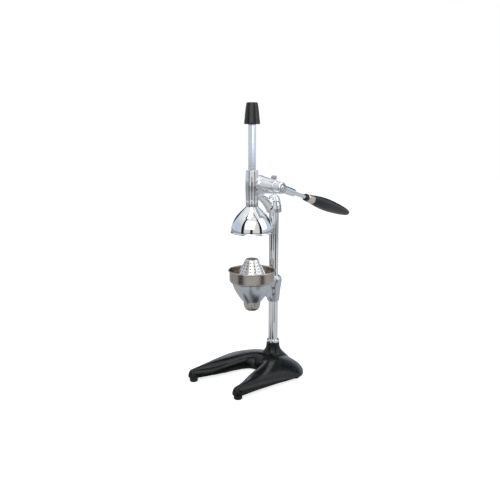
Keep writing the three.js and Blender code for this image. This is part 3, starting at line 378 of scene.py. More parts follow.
def smooth_object(name, field, vertices, quads, step):
    """Moves the vertices onto the field's surface and takes their normals from its slope."""
    nudge = step / 4
    for _ in range(FIELD_PASSES):
        slope = gradient(field, vertices, nudge)
        size = np.maximum((slope**2).sum(axis=1), LEAST_SLOPE)
        move = (field(vertices) / size)[:, None] * slope
        vertices -= np.clip(move, -step / 2, step / 2)
    normals = gradient(field, vertices, nudge)
    normals /= np.maximum(np.linalg.norm(normals, axis=1), TINY)[:, None]
    mesh = bpy.data.meshes.new(name)
    mesh.from_pydata(vertices.tolist(), [], quads.tolist())
    mesh.shade_smooth()
    mesh.normals_split_custom_set_from_vertices(normals.tolist())
    return add_object(name, mesh)


def sample(field, low, shape, step):
    """Values on a grid, exact only near the surface."""
    size = FIELD_BLOCK
    coarse = np.stack(np.meshgrid(*[np.arange(n // size) for n in shape], indexing="ij"), -1)
    middles = field((coarse * size + (size - 1) / 2) * step + low)
    near = np.argwhere(np.abs(middles) < 2 * size * step)
    values = middles.repeat(size, 0).repeat(size, 1).repeat(size, 2)
    inner = np.stack(np.meshgrid(*[np.arange(size)] * 3, indexing="ij"), -1)
    places = near[:, None, None, None, :] * size + inner
    values[tuple(np.moveaxis(places, -1, 0))] = field(places * step + low)
    return values


def gradient(field, points, nudge):
    slope = np.zeros_like(points)
    for axis, step in enumerate(np.eye(3) * nudge):
        slope[:, axis] = (field(points + step) - field(points - step)) / (2 * nudge)
    return slope


# Shader nodes

def settle(tree, owner, values):
    """Each input takes another node's output or a value of its own."""
    for name, value in values.items():
        if isinstance(value, bpy.types.NodeSocket):
            tree.links.new(value, owner.inputs[name])
        else:
            owner.inputs[name].default_value = value


def add_node(tree, kind, values, **settings):
    made = tree.nodes.new("ShaderNode" + kind)
    for setting, value in settings.items():
        setattr(made, setting, value)
    settle(tree, made, values)
    return made


def noise(tree, scale, detail, stretch=(1, 1, 1)):
    place = add_node(tree, "TexCoord", {}).outputs["Object"]
    mapping = add_node(tree, "Mapping", {"Vector": place, "Scale": stretch}).outputs["Vector"]
    return add_node(tree, "TexNoise", {"Vector": mapping, "Scale": scale, "Detail": detail}).outputs["Fac"]


def spread(tree, factor, start, end, low=0, high=1):
    """Maps a factor between start and end onto a range of numbers."""
    values = {"Value": factor, "From Min": start, "From Max": end, "To Min": low, "To Max": high}
    return add_node(tree, "MapRange", values).outputs["Result"]


def colours(tree, factor, stops):
    """Maps a factor onto a row of (place, colour) stops."""
    ramp = add_node(tree, "ValToRGB", {"Fac": factor})
    while len(ramp.color_ramp.elements) < len(stops):
        ramp.color_ramp.elements.new(0.5)
    for element, (place, color) in zip(ramp.color_ramp.elements, stops):
        element.position = place
        element.color = (*color, 1)
    return ramp.outputs["Color"]


def white_mix(tree, factor, color, white):
    values = {"Factor": factor, "A": color, "B": (white, white, white, 1)}
    return add_node(tree, "Mix", values, data_type="RGBA").outputs["Result"]


def by_ray(tree, seen, mirrored, lit):
    """One strength for what the camera sees, one for what shiny surfaces see and one for light."""
    path = add_node(tree, "LightPath", {})
    strength = lit
    for ray, value in (("Is Glossy Ray", mirrored), ("Is Camera Ray", seen)):
        pick = add_node(tree, "Mix", {"Factor": path.outputs[ray], "A": strength, "B": value})
        strength = pick.outputs["Result"]
    return strength


# Materials, kept by name

LINE_STRETCH = (0.02, 0.02, 1)
STAIN_START = 0.3
STAIN_END = 0.7
LOOKS = {}


def new_material(name):
    made = bpy.data.materials.new(name)
    made.use_nodes = True
    return made, made.node_tree, made.node_tree.nodes["Principled BSDF"]


def surface(name, metallic, colors, roughness, relief, start=STAIN_START, **sockets):
    """Clouds in the colour, stains in the roughness and a grain in the relief.

    Each comes as two values and the scale, detail and stretch of its noise.
    """
    (low, high, *cloud), (smooth, rough, *stain), (strength, depth, *grain) = colors, roughness, relief
    LOOKS[name], tree, shader = new_material(name)
    height = noise(tree, *grain)
    settle(tree, shader, {
        "Base Color": colours(tree, noise(tree, *cloud), [(start, low), (1 - start, high)]),
        "Metallic": metallic,
        "Roughness": spread(tree, noise(tree, *stain), STAIN_START, STAIN_END, smooth, rough),
        "Normal": add_node(tree, "Bump", {
            "Height": height, "Strength": strength, "Distance": depth,
        }).outputs["Normal"],
        **sockets,
    })


def chrome(name, waviness, waves):
    """Mirror plating over the waves of the polished metal below."""
    tones = ((0.76, 0.79, 0.83), (0.84, 0.85, 0.86), 14, 3)
    surface(name, 1, tones, (0.03, 0.09, 60, 5), (waviness, 0.3 * MM, waves, 2))


def brushed(name, low, high, roughness, lines):
    """Turned or drawn steel: fine lines across the axis, warm and cool areas."""
    fine = (lines, 3, LINE_STRETCH)
    surface(name, 1, (low, high, 22, 4), (*roughness, *fine), (0.12, 0.05 * MM, *fine), 0.32)


def machined(name, low, high, roughness):
    """Machined metal with stains of oil."""
    stains = (120, 4)
    surface(name, 1, (low, high, *stains), (*roughness, *stains), (0.15, 0.04 * MM, 1400, 2), 0.35)


def satin_cast():
    tones = ((0.52, 0.57, 0.63), (0.62, 0.66, 0.70), 9, 3)
    surface("satin_cast", 1, tones, (0.22, 0.36, 35, 5), (0.15, 0.08 * MM, 900, 3))


def black_enamel():
    """Gloss paint over the relief of cast iron."""
    tones = ((0.004, 0.005, 0.005), (0.010, 0.012, 0.012), 60, 4)
    surface("black_enamel", 0, tones, (0.16, 0.32, 26, 5), (0.35, 0.5 * MM, 180, 5), **{
        "Specular IOR Level": 0.2, "Coat Weight": 0.18, "Coat Roughness": 0.06,
    })


def black_plastic():
    tones = ((0.006, 0.006, 0.007), (0.011, 0.012, 0.013), 30, 3)
    surface("black_plastic", 0, tones, (0.2, 0.3, 50, 4), (0.12, 0.04 * MM, 1500, 2))


def black_rubber():
    tones = ((0.010, 0.010, 0.010), (0.022, 0.021, 0.020), 90, 3)
    surface("black_rubber", 0, tones, (0.62, 0.85, 120, 4), (0.3, 0.08 * MM, 1200, 3))


chrome("chrome", 0.02, 40)
chrome("cast_chrome", 0.10, 55)
brushed("plated_rack", (0.84, 0.87, 0.92), (0.93, 0.94, 0.96), (0.20, 0.30), 500)
brushed("stainless", (0.40, 0.37, 0.34), (0.56, 0.52, 0.48), (0.20, 0.34), 900)
brushed("bright_steel", (0.63, 0.62, 0.59), (0.76, 0.74, 0.71), (0.24, 0.38), 900)
brushed("nickel", (0.62, 0.56, 0.48), (0.74, 0.68, 0.60), (0.16, 0.26), 700)
machined("dark_steel", (0.16, 0.16, 0.17), (0.28, 0.28, 0.29), (0.30, 0.45))
machined("bronze", (0.45, 0.28, 0.13), (0.58, 0.38, 0.20), (0.28, 0.42))
satin_cast()
black_enamel()
black_plastic()
black_rubber()

# Pieces take their body from the record and their material from the look given with each call

RECORD = frame["record"]
BODY_OF = {node: body for body, nodes in RECORD["behaviour"]["bodies"].items() for node in nodes}


def dress(piece, look):
    piece.data.materials.clear()
    piece.data.materials.append(LOOKS[look])


def install(piece, node, look):
    dress(piece, look)
    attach(piece, BODY_OF[node])
    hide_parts(node)


# Column

COLUMN_RADIUS = 12.5 * MM
COLUMN_WALL = 2.4 * MM
COLUMN_BORE = COLUMN_RADIUS + GAP
COLLAR_RADIUS = 16.6 * MM
COLLAR_LIP = 1.2 * MM


def column():
    low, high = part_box("column_tube")
    profile = ring(COLUMN_RADIUS - COLUMN_WALL, COLUMN_RADIUS, low.z, high.z, EDGE)
    install(lathe("column", profile, COLUMN_AXIS, UP), "column_tube", "chrome")


def collar():
    low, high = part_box("column_collar")
    profile = rounded([
        (COLUMN_BORE, low.z),
        (COLLAR_RADIUS, low.z, EDGE),
        (COLLAR_RADIUS, high.z - COLLAR_LIP, EDGE),
        (COLLAR_RADIUS - COLLAR_LIP, high.z, EDGE),
        (COLUMN_BORE, high.z, EDGE),
    ])
    install(lathe("collar", profile, COLUMN_AXIS, UP), "column_collar", "chrome")


def tie_rod():
    low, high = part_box("tie_rod")
    radius = (high.x - low.x) / 2
    profile = rounded([(0, low.z), (radius, low.z, 2 * EDGE), (radius, high.z), (0, high.z)])
    install(lathe("rod_of_column", profile, COLUMN_AXIS, UP, SMALL_SIDES), "tie_rod", "dark_steel")


def tie_rod_washer():
    low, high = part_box("tie_rod")
    inner = (high.x - low.x) / 2 + GAP
    low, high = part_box("tie_rod_washer")
    profile = ring(inner, (high.x - low.x) / 2, low.z, high.z, EDGE)
    install(lathe("washer", profile, COLUMN_AXIS, UP, SMALL_SIDES), "tie_rod_washer", "dark_steel")


# Base

BASE_HALF_WIDTH = 118 * MM
LEG_REACH = 218 * MM
FRONT_RIM = 11 * MM
BACK_RIM = 4 * MM
LEG_RISE = 21 * MM
ARCH_RISE = 35 * MM
BASE_CROWN = BACK_RIM + ARCH_RISE
BASE_WALL = 6 * MM
BASE_VOXEL = 1.4 * MM
BASE_SHARP = 50
SMOOTH_FACTOR = 0.5
SMOOTH_PASSES = 8
CROWN_SHIFT_SHARE = 0.32
SHOULDER_SHIFT_SHARE = 0.3
INNER_FULLNESS = 1.1
LEG_FULLNESS = 0.8
BACK_FULLNESS = 0.9
SHOULDER_FULLNESS = 0.35
OUTER_EDGE_SHARES = [
    (0.77, 1), (0.83, 0.75), (0.92, 0.46), (0.985, 0.27), (1, 0.14),
    (0.9, 0.015), (0.66, -0.12), (0.33, -0.185), (0, -0.206),
]
INNER_EDGE_SHARES = [(0.53, 1), (0.44, 0.87), (0.345, 0.69), (0.25, 0.46), (0.16, 0.345), (0, 0.305)]
TIP_TURNS = [math.radians(angle) for angle in (86, 80, 72, 62, 50, 36, 18)]
HUB_RADIUS = 17.5 * MM
HUB_TOP = 66 * MM
FLARE_RADIUS = 46 * MM
FLARE_FOOT = 17 * MM
FLARE_BEND = 35.5 * MM
FLARE_STEPS = 16
TIE_BOSS_RADIUS = 21 * MM
TIE_BOSS_FOOT = 21 * MM
TIE_BORE = 5.3 * MM
RIB_THICKNESS = 5 * MM
RIB_PLACE_SHARES = (0.52, 0.76)
SECTION_STEPS = 28
STATIONS = 72
EDGE_STEPS = 24
FOOT_RADIUS = 10.5 * MM
FOOT_PAD = 11 * MM
FOOT_SOLE_INSET = 1.2 * MM
FOOT_BULGE = 3 * MM
FOOT_BULGE_EDGE = 2 * MM
FOOT_TOP_INSET = 0.8 * MM
FOOT_STUD_RADIUS = 4 * MM
FOOT_STUD_EDGE = 0.6 * MM


def edge_curve(shares):
    """A smooth edge from one leg's tip round the middle to the other, from shares of one half."""
    half = [(x * BASE_HALF_WIDTH, COLUMN_Y - y * LEG_REACH) for x, y in shares]
    points = np.array(half + [(-x, y) for x, y in reversed(half[:-1])])
    points = np.vstack([2 * points[0] - points[1], points, 2 * points[-1] - points[-2]])
    curve = []
    for k in range(1, len(points) - 2):
        near = points[k - 1:k + 3]
        knots = np.cumsum([0] + [np.linalg.norm(b - a) ** 0.5 for a, b in zip(near, near[1:])])
        for s in np.linspace(knots[1], knots[2], EDGE_STEPS, endpoint=False):
            curve.append(knot_curve(near, knots, s))
    return np.array([*curve, points[-2]])


def knot_curve(points, knots, s):
    """A point of a Catmull-Rom curve whose knots lie unevenly."""
    def blend(p, q, start, end):
        return (p * (end - s) + q * (s - start)) / (end - start)

    a, b, c, d = points
    t0, t1, t2, t3 = knots
    ab, bc, cd = blend(a, b, t0, t1), blend(b, c, t1, t2), blend(c, d, t2, t3)
    return blend(blend(ab, bc, t0, t2), blend(bc, cd, t1, t3), t1, t2)


def at_share(curve, share):
    place = share * (len(curve) - 1)
    k = min(int(place), len(curve) - 2)
    return mix(curve[k], curve[k + 1], place - k)


def base_section(edges, share, wall, tip_turn, drop):
    """An arched cross-section between the two edges, moved in by the wall for the hollow below."""
    inner, outer = (at_share(edge, share) for edge in edges)
    width = np.linalg.norm(outer - inner)
    across = (outer - inner) / width
    half_width = (width / 2 - wall) * math.cos(tip_turn)
    centre = (inner + outer) / 2 - np.array([0, width / 2 * math.sin(tip_turn)])
    backness = math.sin(math.pi * share) ** 2
    rim = mix(FRONT_RIM, BACK_RIM, backness)
    rise = (mix(LEG_RISE, ARCH_RISE, backness) - wall) * math.sqrt(math.cos(tip_turn))
    shoulder = 4 * backness * (1 - backness)
    crown_shift = CROWN_SHIFT_SHARE * backness + SHOULDER_SHIFT_SHARE * shoulder
    outer_fullness = mix(LEG_FULLNESS, BACK_FULLNESS, backness) + SHOULDER_FULLNESS * shoulder
    section = []
    for i in range(SECTION_STEPS + 1):
        angle = math.pi * i / SECTION_STEPS
        sine = max(math.sin(angle), 0)
        fullness = outer_fullness if i > SECTION_STEPS / 2 else INNER_FULLNESS
        x, y = centre + across * (-math.cos(angle) - crown_shift * sine**2) * half_width
        section.append((x, y, rim + rise * sine**fullness))
    if drop:
        section += [(*section[-1][:2], rim - drop), (*section[0][:2], rim - drop)]
    return section


def base_loft(name, wall, drop, tip_turns):
    edges = edge_curve(INNER_EDGE_SHARES), edge_curve(OUTER_EDGE_SHARES)
    rings = [base_section(edges, 0, wall, turn, drop) for turn in tip_turns]
    rings += [base_section(edges, k / STATIONS, wall, 0, drop) for k in range(STATIONS + 1)]
    rings += [base_section(edges, 1, wall, turn, drop) for turn in reversed(tip_turns)]
    count = len(rings[0])
    faces = []
    for k in range(0, (len(rings) - 1) * count, count):
        for i in range(count):
            a, b = k + i, k + (i + 1) % count
            faces.append((a, b, b + count, a + count))
    faces += [range(count), range((len(rings) - 1) * count, len(rings) * count)]
    return mesh_object(name, [point for section in rings for point in section], faces)


def foot_axes():
    names = ("front_left_foot", "front_right_foot", "rear_left_foot", "rear_right_foot")
    return {name: (middle(name).x, middle(name).y, 0) for name in names}


def base():
    flare = bezier([
        (FLARE_RADIUS, FLARE_FOOT),
        (FLARE_BEND, BASE_CROWN - BASE_WALL),
        (HUB_RADIUS, BASE_CROWN),
        (HUB_RADIUS, HUB_TOP - BASE_WALL),
    ], FLARE_STEPS)
    profile = [(0, FLARE_FOOT), *flare, (HUB_RADIUS, HUB_TOP), (0, HUB_TOP)]
    hub = lathe("hub", profile, COLUMN_AXIS, UP, RING_SIDES)
    whole = merge("base", [base_loft("skin", 0, 0, TIP_TURNS), hub])
    remesh = whole.modifiers.new("one skin", "REMESH")
    remesh.mode = "VOXEL"
    remesh.voxel_size = BASE_VOXEL
    smooth = whole.modifiers.new("cast edges", "SMOOTH")
    smooth.factor = SMOOTH_FACTOR
    smooth.iterations = SMOOTH_PASSES
    apply_modifiers(whole)
    hollow = combine(base_loft("hollow", BASE_WALL, FRONT_RIM, []), base_inside())
    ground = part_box("base_casting")[0].z
    below = box_object("below", (-BEYOND, -BEYOND, ground - BEYOND), (BEYOND, BEYOND, ground))
    combine(whole, *base_bores(), hollow, below, sharp=BASE_SHARP)
    install(whole, "base_casting", "black_enamel")


def base_bores():
    """The bores of the column, the tie rod and the four feet."""
    column_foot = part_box("column_tube")[0].z - GAP
    bores = [lathe("bore", rod(COLUMN_BORE, column_foot, BEYOND), COLUMN_AXIS, UP)]
    bores.append(lathe("bore", rod(TIE_BORE, -BEYOND, BEYOND), COLUMN_AXIS, UP, SMALL_SIDES))
    for axis in foot_axes().values():
        bores.append(lathe("bore", rod(FOOT_RADIUS + 2 * GAP, -BEYOND, FOOT_PAD), axis, UP, SMALL_SIDES))
    return bores


def base_inside():
    """What stands in the hollow: the tie rod's boss, the feet's bosses and the ribs."""
    whole = None
    bosses = [(COLUMN_AXIS, TIE_BOSS_RADIUS, TIE_BOSS_FOOT, CAST_EDGE)]
    bosses += [(axis, FOOT_RADIUS + GAP, FOOT_PAD, SOFT_EDGE) for axis in foot_axes().values()]
    for axis, radius, foot, edge in bosses:
        profile = rounded([(0, foot), (radius, foot, edge), (radius, BASE_CROWN), (0, BASE_CROWN)])
        boss = lathe("boss", profile, axis, UP, SMALL_SIDES)
        whole = combine(whole, boss, operation="UNION") if whole else boss
    for share in RIB_PLACE_SHARES:
        y = COLUMN_Y - share * LEG_REACH
        foot = FRONT_RIM + BASE_WALL
        low = (-BASE_HALF_WIDTH, y - RIB_THICKNESS / 2, foot)
        high = (BASE_HALF_WIDTH, y + RIB_THICKNESS / 2, foot + ARCH_RISE)
        combine(whole, box_object("rib", low, high), operation="UNION")
    return whole


def feet():
    for node, axis in foot_axes().items():
        low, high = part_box(node)
        pad = low.z + FOOT_PAD - GAP
        profile = rounded([
            (0, low.z),
            (FOOT_RADIUS - FOOT_SOLE_INSET, low.z, CAST_EDGE),
            (FOOT_RADIUS, low.z + FOOT_BULGE, FOOT_BULGE_EDGE),
            (FOOT_RADIUS - FOOT_TOP_INSET, pad, FOOT_TOP_INSET),
            (FOOT_STUD_RADIUS, pad),
            (FOOT_STUD_RADIUS, high.z, FOOT_STUD_EDGE),
            (0, high.z),
        ])
        install(lathe(node + "_pad", profile, axis, UP, KNOB_SIDES), node, "black_rubber")


# Head

SHAFT_RADIUS = 8 * MM
RACK_SIDE = 13.6 * MM
RACK_ROOM = RACK_SIDE / 2 + GAP
GUIDE_TOP = 524.6 * MM
GUIDE_FOOT = 453.8 * MM
GUIDE_RADIUS = 15.4 * MM
GUIDE_BEND_RADIUS = GUIDE_RADIUS + 2 * MM
GUIDE_STEPS = 6
HOUSING_RADIUS = 25.4 * MM
HOUSING_FACE = 6.9 * MM
HOUSING_REACH = 17.4 * MM
HOUSING_EDGE = 1.2 * MM
CAVITY_RADIUS = 23 * MM
CAVITY_FACE = 4.5 * MM
EAR_RADIUS = 3.8 * MM
BARREL_REACH = 57 * MM
BARREL_TIP = 15.4 * MM
BARREL_ROOT = 22.5 * MM
BARREL_RAISE = 5 * MM
LUG_TOP = 29 * MM
LUG_FOOT_LENGTH = 23 * MM
LUG_TOP_LENGTH = 12 * MM
LUG_THICKNESS = 6 * MM
LUG_INSET = 1 * MM
SOCKET_RADIUS = 19.6 * MM
SOCKET_FOOT = 414.8 * MM
SOCKET_HEIGHT = 46 * MM
SOCKET_TOP = SOCKET_FOOT + SOCKET_HEIGHT
SOCKET_SHOULDER = SOCKET_FOOT + 0.75 * SOCKET_HEIGHT
SOCKET_CROWN_RADIUS = 0.6 * SOCKET_RADIUS
SOCKET_STEPS = 10
SOCKET_SEAT = 31 * MM
ARM_HALF_WIDTH = 7.5 * MM
ARM_ROOT = 5.5 * MM
ARM_END = 15 * MM
ARM_END_Y = COLUMN_Y - 0.6 * SOCKET_RADIUS
ARM_END_Z = SOCKET_FOOT + 0.7 * ARM_END
ARM_GROWTH = 1.3
ARM_WIDENING = 0.33
ARM_STEPS = 24
BUSH_RADIUS = 10.6 * MM
BUSH_LENGTH = 9 * MM
CAST_FILLET = 3 * MM
SCREW_HOLE = 3.3 * MM
HEAD_STEP = 1 * MM
COVER_TURNS = [math.radians(angle) for angle in (30, 150, 270)]
COVER_THICKNESS = 3 * MM
COVER_RISE_RADIUS = 15 * MM
COVER_STEP_RADIUS = 13 * MM
COVER_STEP = 2 * MM
COVER_CROWN_RADIUS = 12 * MM
COVER_CROWN = 11 * MM
COVER_ROOM = 9.3 * MM
COVER_SCREW_HOLE = 1.9 * MM
COVER_SCREW_RADIUS = 1.6 * MM
COVER_SCREW_LENGTH = 7 * MM
COVER_SCREW_SEAT = 3.6 * MM
COVER_SCREW_TOP = 5.6 * MM
COVER_SCREW_HEAD_RADIUS = 3.2 * MM
COVER_SCREW_CROWN_RADIUS = 2.7 * MM
SLOT_REACH = 4 * MM
SLOT_DEPTH = 0.8 * MM


def cover_places():
    return [
        (-HOUSING_REACH, SHAFT.y + HOUSING_RADIUS * math.cos(a), SHAFT.z + HOUSING_RADIUS * math.sin(a))
        for a in COVER_TURNS
    ]


def guide_field(p):
    bend = (GUIDE_BEND_RADIUS, SHAFT.z)
    swell = bezier([(GUIDE_RADIUS, GUIDE_FOOT), bend, (GUIDE_RADIUS, GUIDE_TOP)], GUIDE_STEPS)
    return turned_field(p, [(0, GUIDE_FOOT), *swell, (0, GUIDE_TOP)], RAM_AXIS, UP)


def housing_field(p):
    radius, face = HOUSING_RADIUS - HOUSING_EDGE, HOUSING_FACE - HOUSING_EDGE
    drum = rod_field(p, radius, -HOUSING_REACH, face, SHAFT, SIDEWAYS) - HOUSING_EDGE
    return np.maximum(drum, -HOUSING_REACH - p[..., 0])


def barrel_field(p):
    x, y, z = np.moveaxis(p, -1, 0)
    share = np.clip(x / BARREL_REACH, 0, 1)
    centre = SHAFT.z + BARREL_RAISE * (1 - share)
    side = np.hypot(y - SHAFT.y, z - centre) - mix(BARREL_ROOT, BARREL_TIP, share)
    return overlap(side, -np.minimum(x, BARREL_REACH - x), CAST_EDGE)


def lug_field(p):
    """The flat fin on top of the barrel's end."""
    foot, top = SHAFT.z + BARREL_TIP - LUG_THICKNESS, SHAFT.z + LUG_TOP
    end = BARREL_REACH - LUG_INSET
    outline = [(end - LUG_FOOT_LENGTH, foot), (end, foot), (end, top), (end - LUG_TOP_LENGTH, top)]
    return slab_field(p, 0, SHAFT.y, outline, LUG_THICKNESS / 2, CAST_EDGE)


def arm_field(p):
    """An ellipse swept from the guide down to the socket."""
    start = (RAM_Y + GUIDE_RADIUS / 2, GUIDE_FOOT + ARM_HALF_WIDTH)
    bend = ((start[0] + ARM_END_Y) / 2, start[1])
    path = np.array(bezier([start, bend, (ARM_END_Y, ARM_END_Z)], ARM_STEPS))
    nearest, found = np.full(p.shape[:-1], np.inf), np.zeros(p.shape[:-1])
    for k, (a, b) in enumerate(zip(path, path[1:])):
        leg = b - a
        y, z = p[..., 1] - a[0], p[..., 2] - a[1]
        share = np.clip((y * leg[0] + z * leg[1]) / (leg @ leg), 0, 1)
        gap = np.hypot(y - share * leg[0], z - share * leg[1])
        found = np.where(gap < nearest, (k + share) / ARM_STEPS, found)
        nearest = np.minimum(gap, nearest)
    height = mix(ARM_ROOT, ARM_END, found**ARM_GROWTH)
    width = ARM_HALF_WIDTH * (1 + ARM_WIDENING * found)
    return (np.hypot(nearest / height, p[..., 0] / width) - 1) * np.minimum(height, width)


def socket_field(p):
    dome = bezier([
        (SOCKET_RADIUS, SOCKET_FOOT + SOFT_EDGE),
        (SOCKET_RADIUS, SOCKET_SHOULDER),
        (SOCKET_CROWN_RADIUS, SOCKET_TOP),
        (0, SOCKET_TOP),
    ], SOCKET_STEPS)
    profile = [(0, SOCKET_FOOT), (SOCKET_RADIUS - SOFT_EDGE, SOCKET_FOOT), *dome]
    return turned_field(p, profile, COLUMN_AXIS, UP)


def head_cuts(p):
    """The rack's way, the gear's cavity, the bores of shaft, bush and column, and a screw's hole."""
    bush_start = BARREL_REACH - BUSH_LENGTH - 2 * GAP
    screw = (0, COLUMN_Y, SOCKET_FOOT + SOCKET_SEAT / 2)
    return (
        box_field(p, (0, RAM_Y, GUIDE_TOP), (RACK_ROOM, RACK_ROOM, BEYOND)),
        rod_field(p, CAVITY_RADIUS, -BEYOND, CAVITY_FACE, SHAFT, SIDEWAYS),
        rod_field(p, SHAFT_RADIUS + 2 * GAP, 0, BEYOND, SHAFT, SIDEWAYS),
        rod_field(p, BUSH_RADIUS + GAP, bush_start, BEYOND, SHAFT, SIDEWAYS),
        rod_field(p, COLUMN_BORE, -BEYOND, SOCKET_FOOT + SOCKET_SEAT, COLUMN_AXIS, UP),
        rod_field(p, SCREW_HOLE, COLUMN_RADIUS, BEYOND, screw, BACKWARDS),
    )


def head_field(p):
    shape = union(guide_field(p), housing_field(p), CAST_FILLET)
    shape = union(shape, barrel_field(p), CAST_FILLET)
    shape = union(shape, lug_field(p), CAST_FILLET)
    for place in cover_places():
        ear = rod_field(p, EAR_RADIUS, 0, HOUSING_REACH - CAVITY_FACE, place, SIDEWAYS)
        shape = union(shape, ear, SOFT_EDGE)
    foot = union(arm_field(p), socket_field(p), 2 * CAST_FILLET)
    shape = union(shape, foot, 2 * CAST_FILLET)
    shape = np.maximum(shape, np.maximum(p[..., 2] - GUIDE_TOP, SOCKET_FOOT - p[..., 2]))
    return without(shape, *head_cuts(p))


def field_for(node, name, field, step, look):
    low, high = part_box(node)
    install(field_object(name, field, low - FIELD_MARGIN, high + FIELD_MARGIN, step), node, look)


def gear_cover():
    face = HOUSING_REACH + GAP
    outside, crown, room = face + COVER_THICKNESS, face + COVER_CROWN, face + COVER_ROOM
    plate = lathe("cover", rounded([
        (BUSH_RADIUS + GAP, face),
        (HOUSING_RADIUS, face, EDGE),
        (HOUSING_RADIUS, outside, SOFT_EDGE),
        (COVER_RISE_RADIUS, outside, SOFT_EDGE),
        (COVER_STEP_RADIUS, outside + COVER_STEP, SOFT_EDGE),
        (COVER_CROWN_RADIUS, crown, SOFT_EDGE),
        (0, crown),
        (0, room),
        (BUSH_RADIUS + GAP, room),
    ]), SHAFT, AWAY)
    ear = rod(EAR_RADIUS, GAP, GAP + COVER_THICKNESS, EDGE)
    for place in cover_places():
        combine(plate, lathe("ear", ear, place, AWAY, SCREW_SIDES), operation="UNION")
    bore = rod(COVER_SCREW_HOLE, -OVERRUN, COVER_THICKNESS + 2 * OVERRUN)
    for place in cover_places():
        combine(plate, lathe("screw_room", bore, place, AWAY, SCREW_SIDES))
    install(plate, "gear_cover", "cast_chrome")


def cover_screws():
    tip, seat, top = COVER_SCREW_SEAT - COVER_SCREW_LENGTH, COVER_SCREW_SEAT, COVER_SCREW_TOP
    profile = rounded([
        (0, tip),
        (COVER_SCREW_RADIUS, tip, EDGE),
        (COVER_SCREW_RADIUS, seat),
        (COVER_SCREW_HEAD_RADIUS, seat, EDGE / 2),
        (COVER_SCREW_CROWN_RADIUS, top, SOFT_EDGE),
        (0, top),
    ])
    for number, place in enumerate(cover_places(), 1):
        screw = lathe(f"cover_screw_head_{number}", profile, place, AWAY, SCREW_SIDES)
        x, y, z = place
        low = (x - top - OVERRUN, y - SLOT_REACH, z - EDGE)
        high = (x - top + SLOT_DEPTH, y + SLOT_REACH, z + EDGE)
        combine(screw, box_object("slot", low, high))
        install(screw, f"cover_screw_{number}", "nickel")


# Lever

LEVER_ANGLE = math.radians(17)
LEVER = Vector((0, math.cos(LEVER_ANGLE), -math.sin(LEVER_ANGLE)))
LEVER_UNDERSIDE = Vector((0, -math.sin(LEVER_ANGLE), -math.cos(LEVER_ANGLE)))
LEVER_PLANE = 67.8 * MM
LEVER_PLACE = Vector((LEVER_PLANE, SHAFT.y, SHAFT.z))
LEVER_LENGTH = 310 * MM
HUB_HALF = 10.5 * MM
HUB_EYE = 14.4 * MM
HUB_FACE = 12 * MM
HUB_DOME_START = 0.4 * HUB_HALF
HUB_DOME_BEND = 0.9 * HUB_HALF
HUB_DOME_STEPS = 5
HUB_RECESS = 5 * MM
HUB_FILLET = 2.5 * MM
HUB_STEP = 0.7 * MM
SHAFT_SQUARE_HALF = 5.8 * MM
LEVER_SOCKET = 9.8 * MM
LEVER_SOCKET_TIP = 9.2 * MM
LEVER_SOCKET_END = 57 * MM
LEVER_SOCKET_WAIST = 0.45 * LEVER_SOCKET_END
LEVER_SOCKET_ROUNDING = 3 * MM
LEVER_ROD = 5 * MM
LEVER_ROD_START = 24 * MM
LEVER_BORE = LEVER_ROD + GAP
GRIP_COLLAR_START = 106 * MM
GRIP_COLLAR_END = 113 * MM
GRIP_COLLAR_RADIUS = 9.2 * MM
FERRULE_WAIST = 10.2 * MM
FERRULE_STEP = 2 * MM
FERRULE_END_RADIUS = 11.2 * MM
GRIP_START = 137.6 * MM
GRIP_DEPTH = 90 * MM
GRIP_SHAPE = [(0.94, 0.2), (1, 0.42), (0.83, 0.72), (0.58, 0.93), (0.39, 1)]
GRIP_NECK = 11.8 * MM
GRIP_RADIUS = 16.5 * MM
GRIP_STEPS = 48
GRIP_TIP_SHARE = 0.7
GRIP_TIP_STEPS = 6
END_SCREW = 7.5 * MM
END_SCREW_HEAD = 4 * MM
END_SCREW_SHANK = 4 * MM
END_SCREW_FLOOR = 2 * MM
END_SCREW_SOCKET = 2.85 * MM
END_SCREW_STEPS = 8


def hub_field(p):
    bends = [(HUB_EYE, HUB_DOME_START), (HUB_EYE, HUB_DOME_BEND), (HUB_FACE, HUB_HALF)]
    dome = bezier(bends, HUB_DOME_STEPS)
    profile = [(0, -HUB_HALF), (HUB_EYE, -HUB_HALF), *dome, (0, HUB_HALF)]
    eye = turned_field(p, profile, LEVER_PLACE, SIDEWAYS)
    socket = turned_field(p, rounded([
        (0, 0),
        (LEVER_SOCKET, 0),
        (LEVER_SOCKET, LEVER_SOCKET_WAIST, LEVER_SOCKET_ROUNDING),
        (LEVER_SOCKET_TIP, LEVER_SOCKET_END, CAST_EDGE),
        (0, LEVER_SOCKET_END),
    ]), LEVER_PLACE, LEVER)
    shape = union(eye, socket, HUB_FILLET)
    shape = np.maximum(shape, np.abs(p[..., 0] - LEVER_PLANE) - HUB_HALF)
    return without(
        shape,
        rod_field(p, END_SCREW + 2 * GAP, HUB_HALF - HUB_RECESS, BEYOND, LEVER_PLACE, SIDEWAYS),
        box_field(p, LEVER_PLACE, (BEYOND, SHAFT_SQUARE_HALF, SHAFT_SQUARE_HALF)),
        rod_field(p, LEVER_BORE, LEVER_ROD_START - GAP, BEYOND, LEVER_PLACE, LEVER),
    )


def lever_rod():
    profile = rod(LEVER_ROD, LEVER_ROD_START, GRIP_START + GRIP_DEPTH, EDGE)
    install(lathe("rod", profile, LEVER_PLACE, LEVER, SMALL_SIDES), "lever_rod", "chrome")


def grip_collar():
    profile = ring(LEVER_BORE, GRIP_COLLAR_RADIUS, GRIP_COLLAR_START, GRIP_COLLAR_END, SOFT_EDGE)
    install(lathe("black_ring", profile, LEVER_PLACE, LEVER, KNOB_SIDES), "grip_collar", "black_plastic")


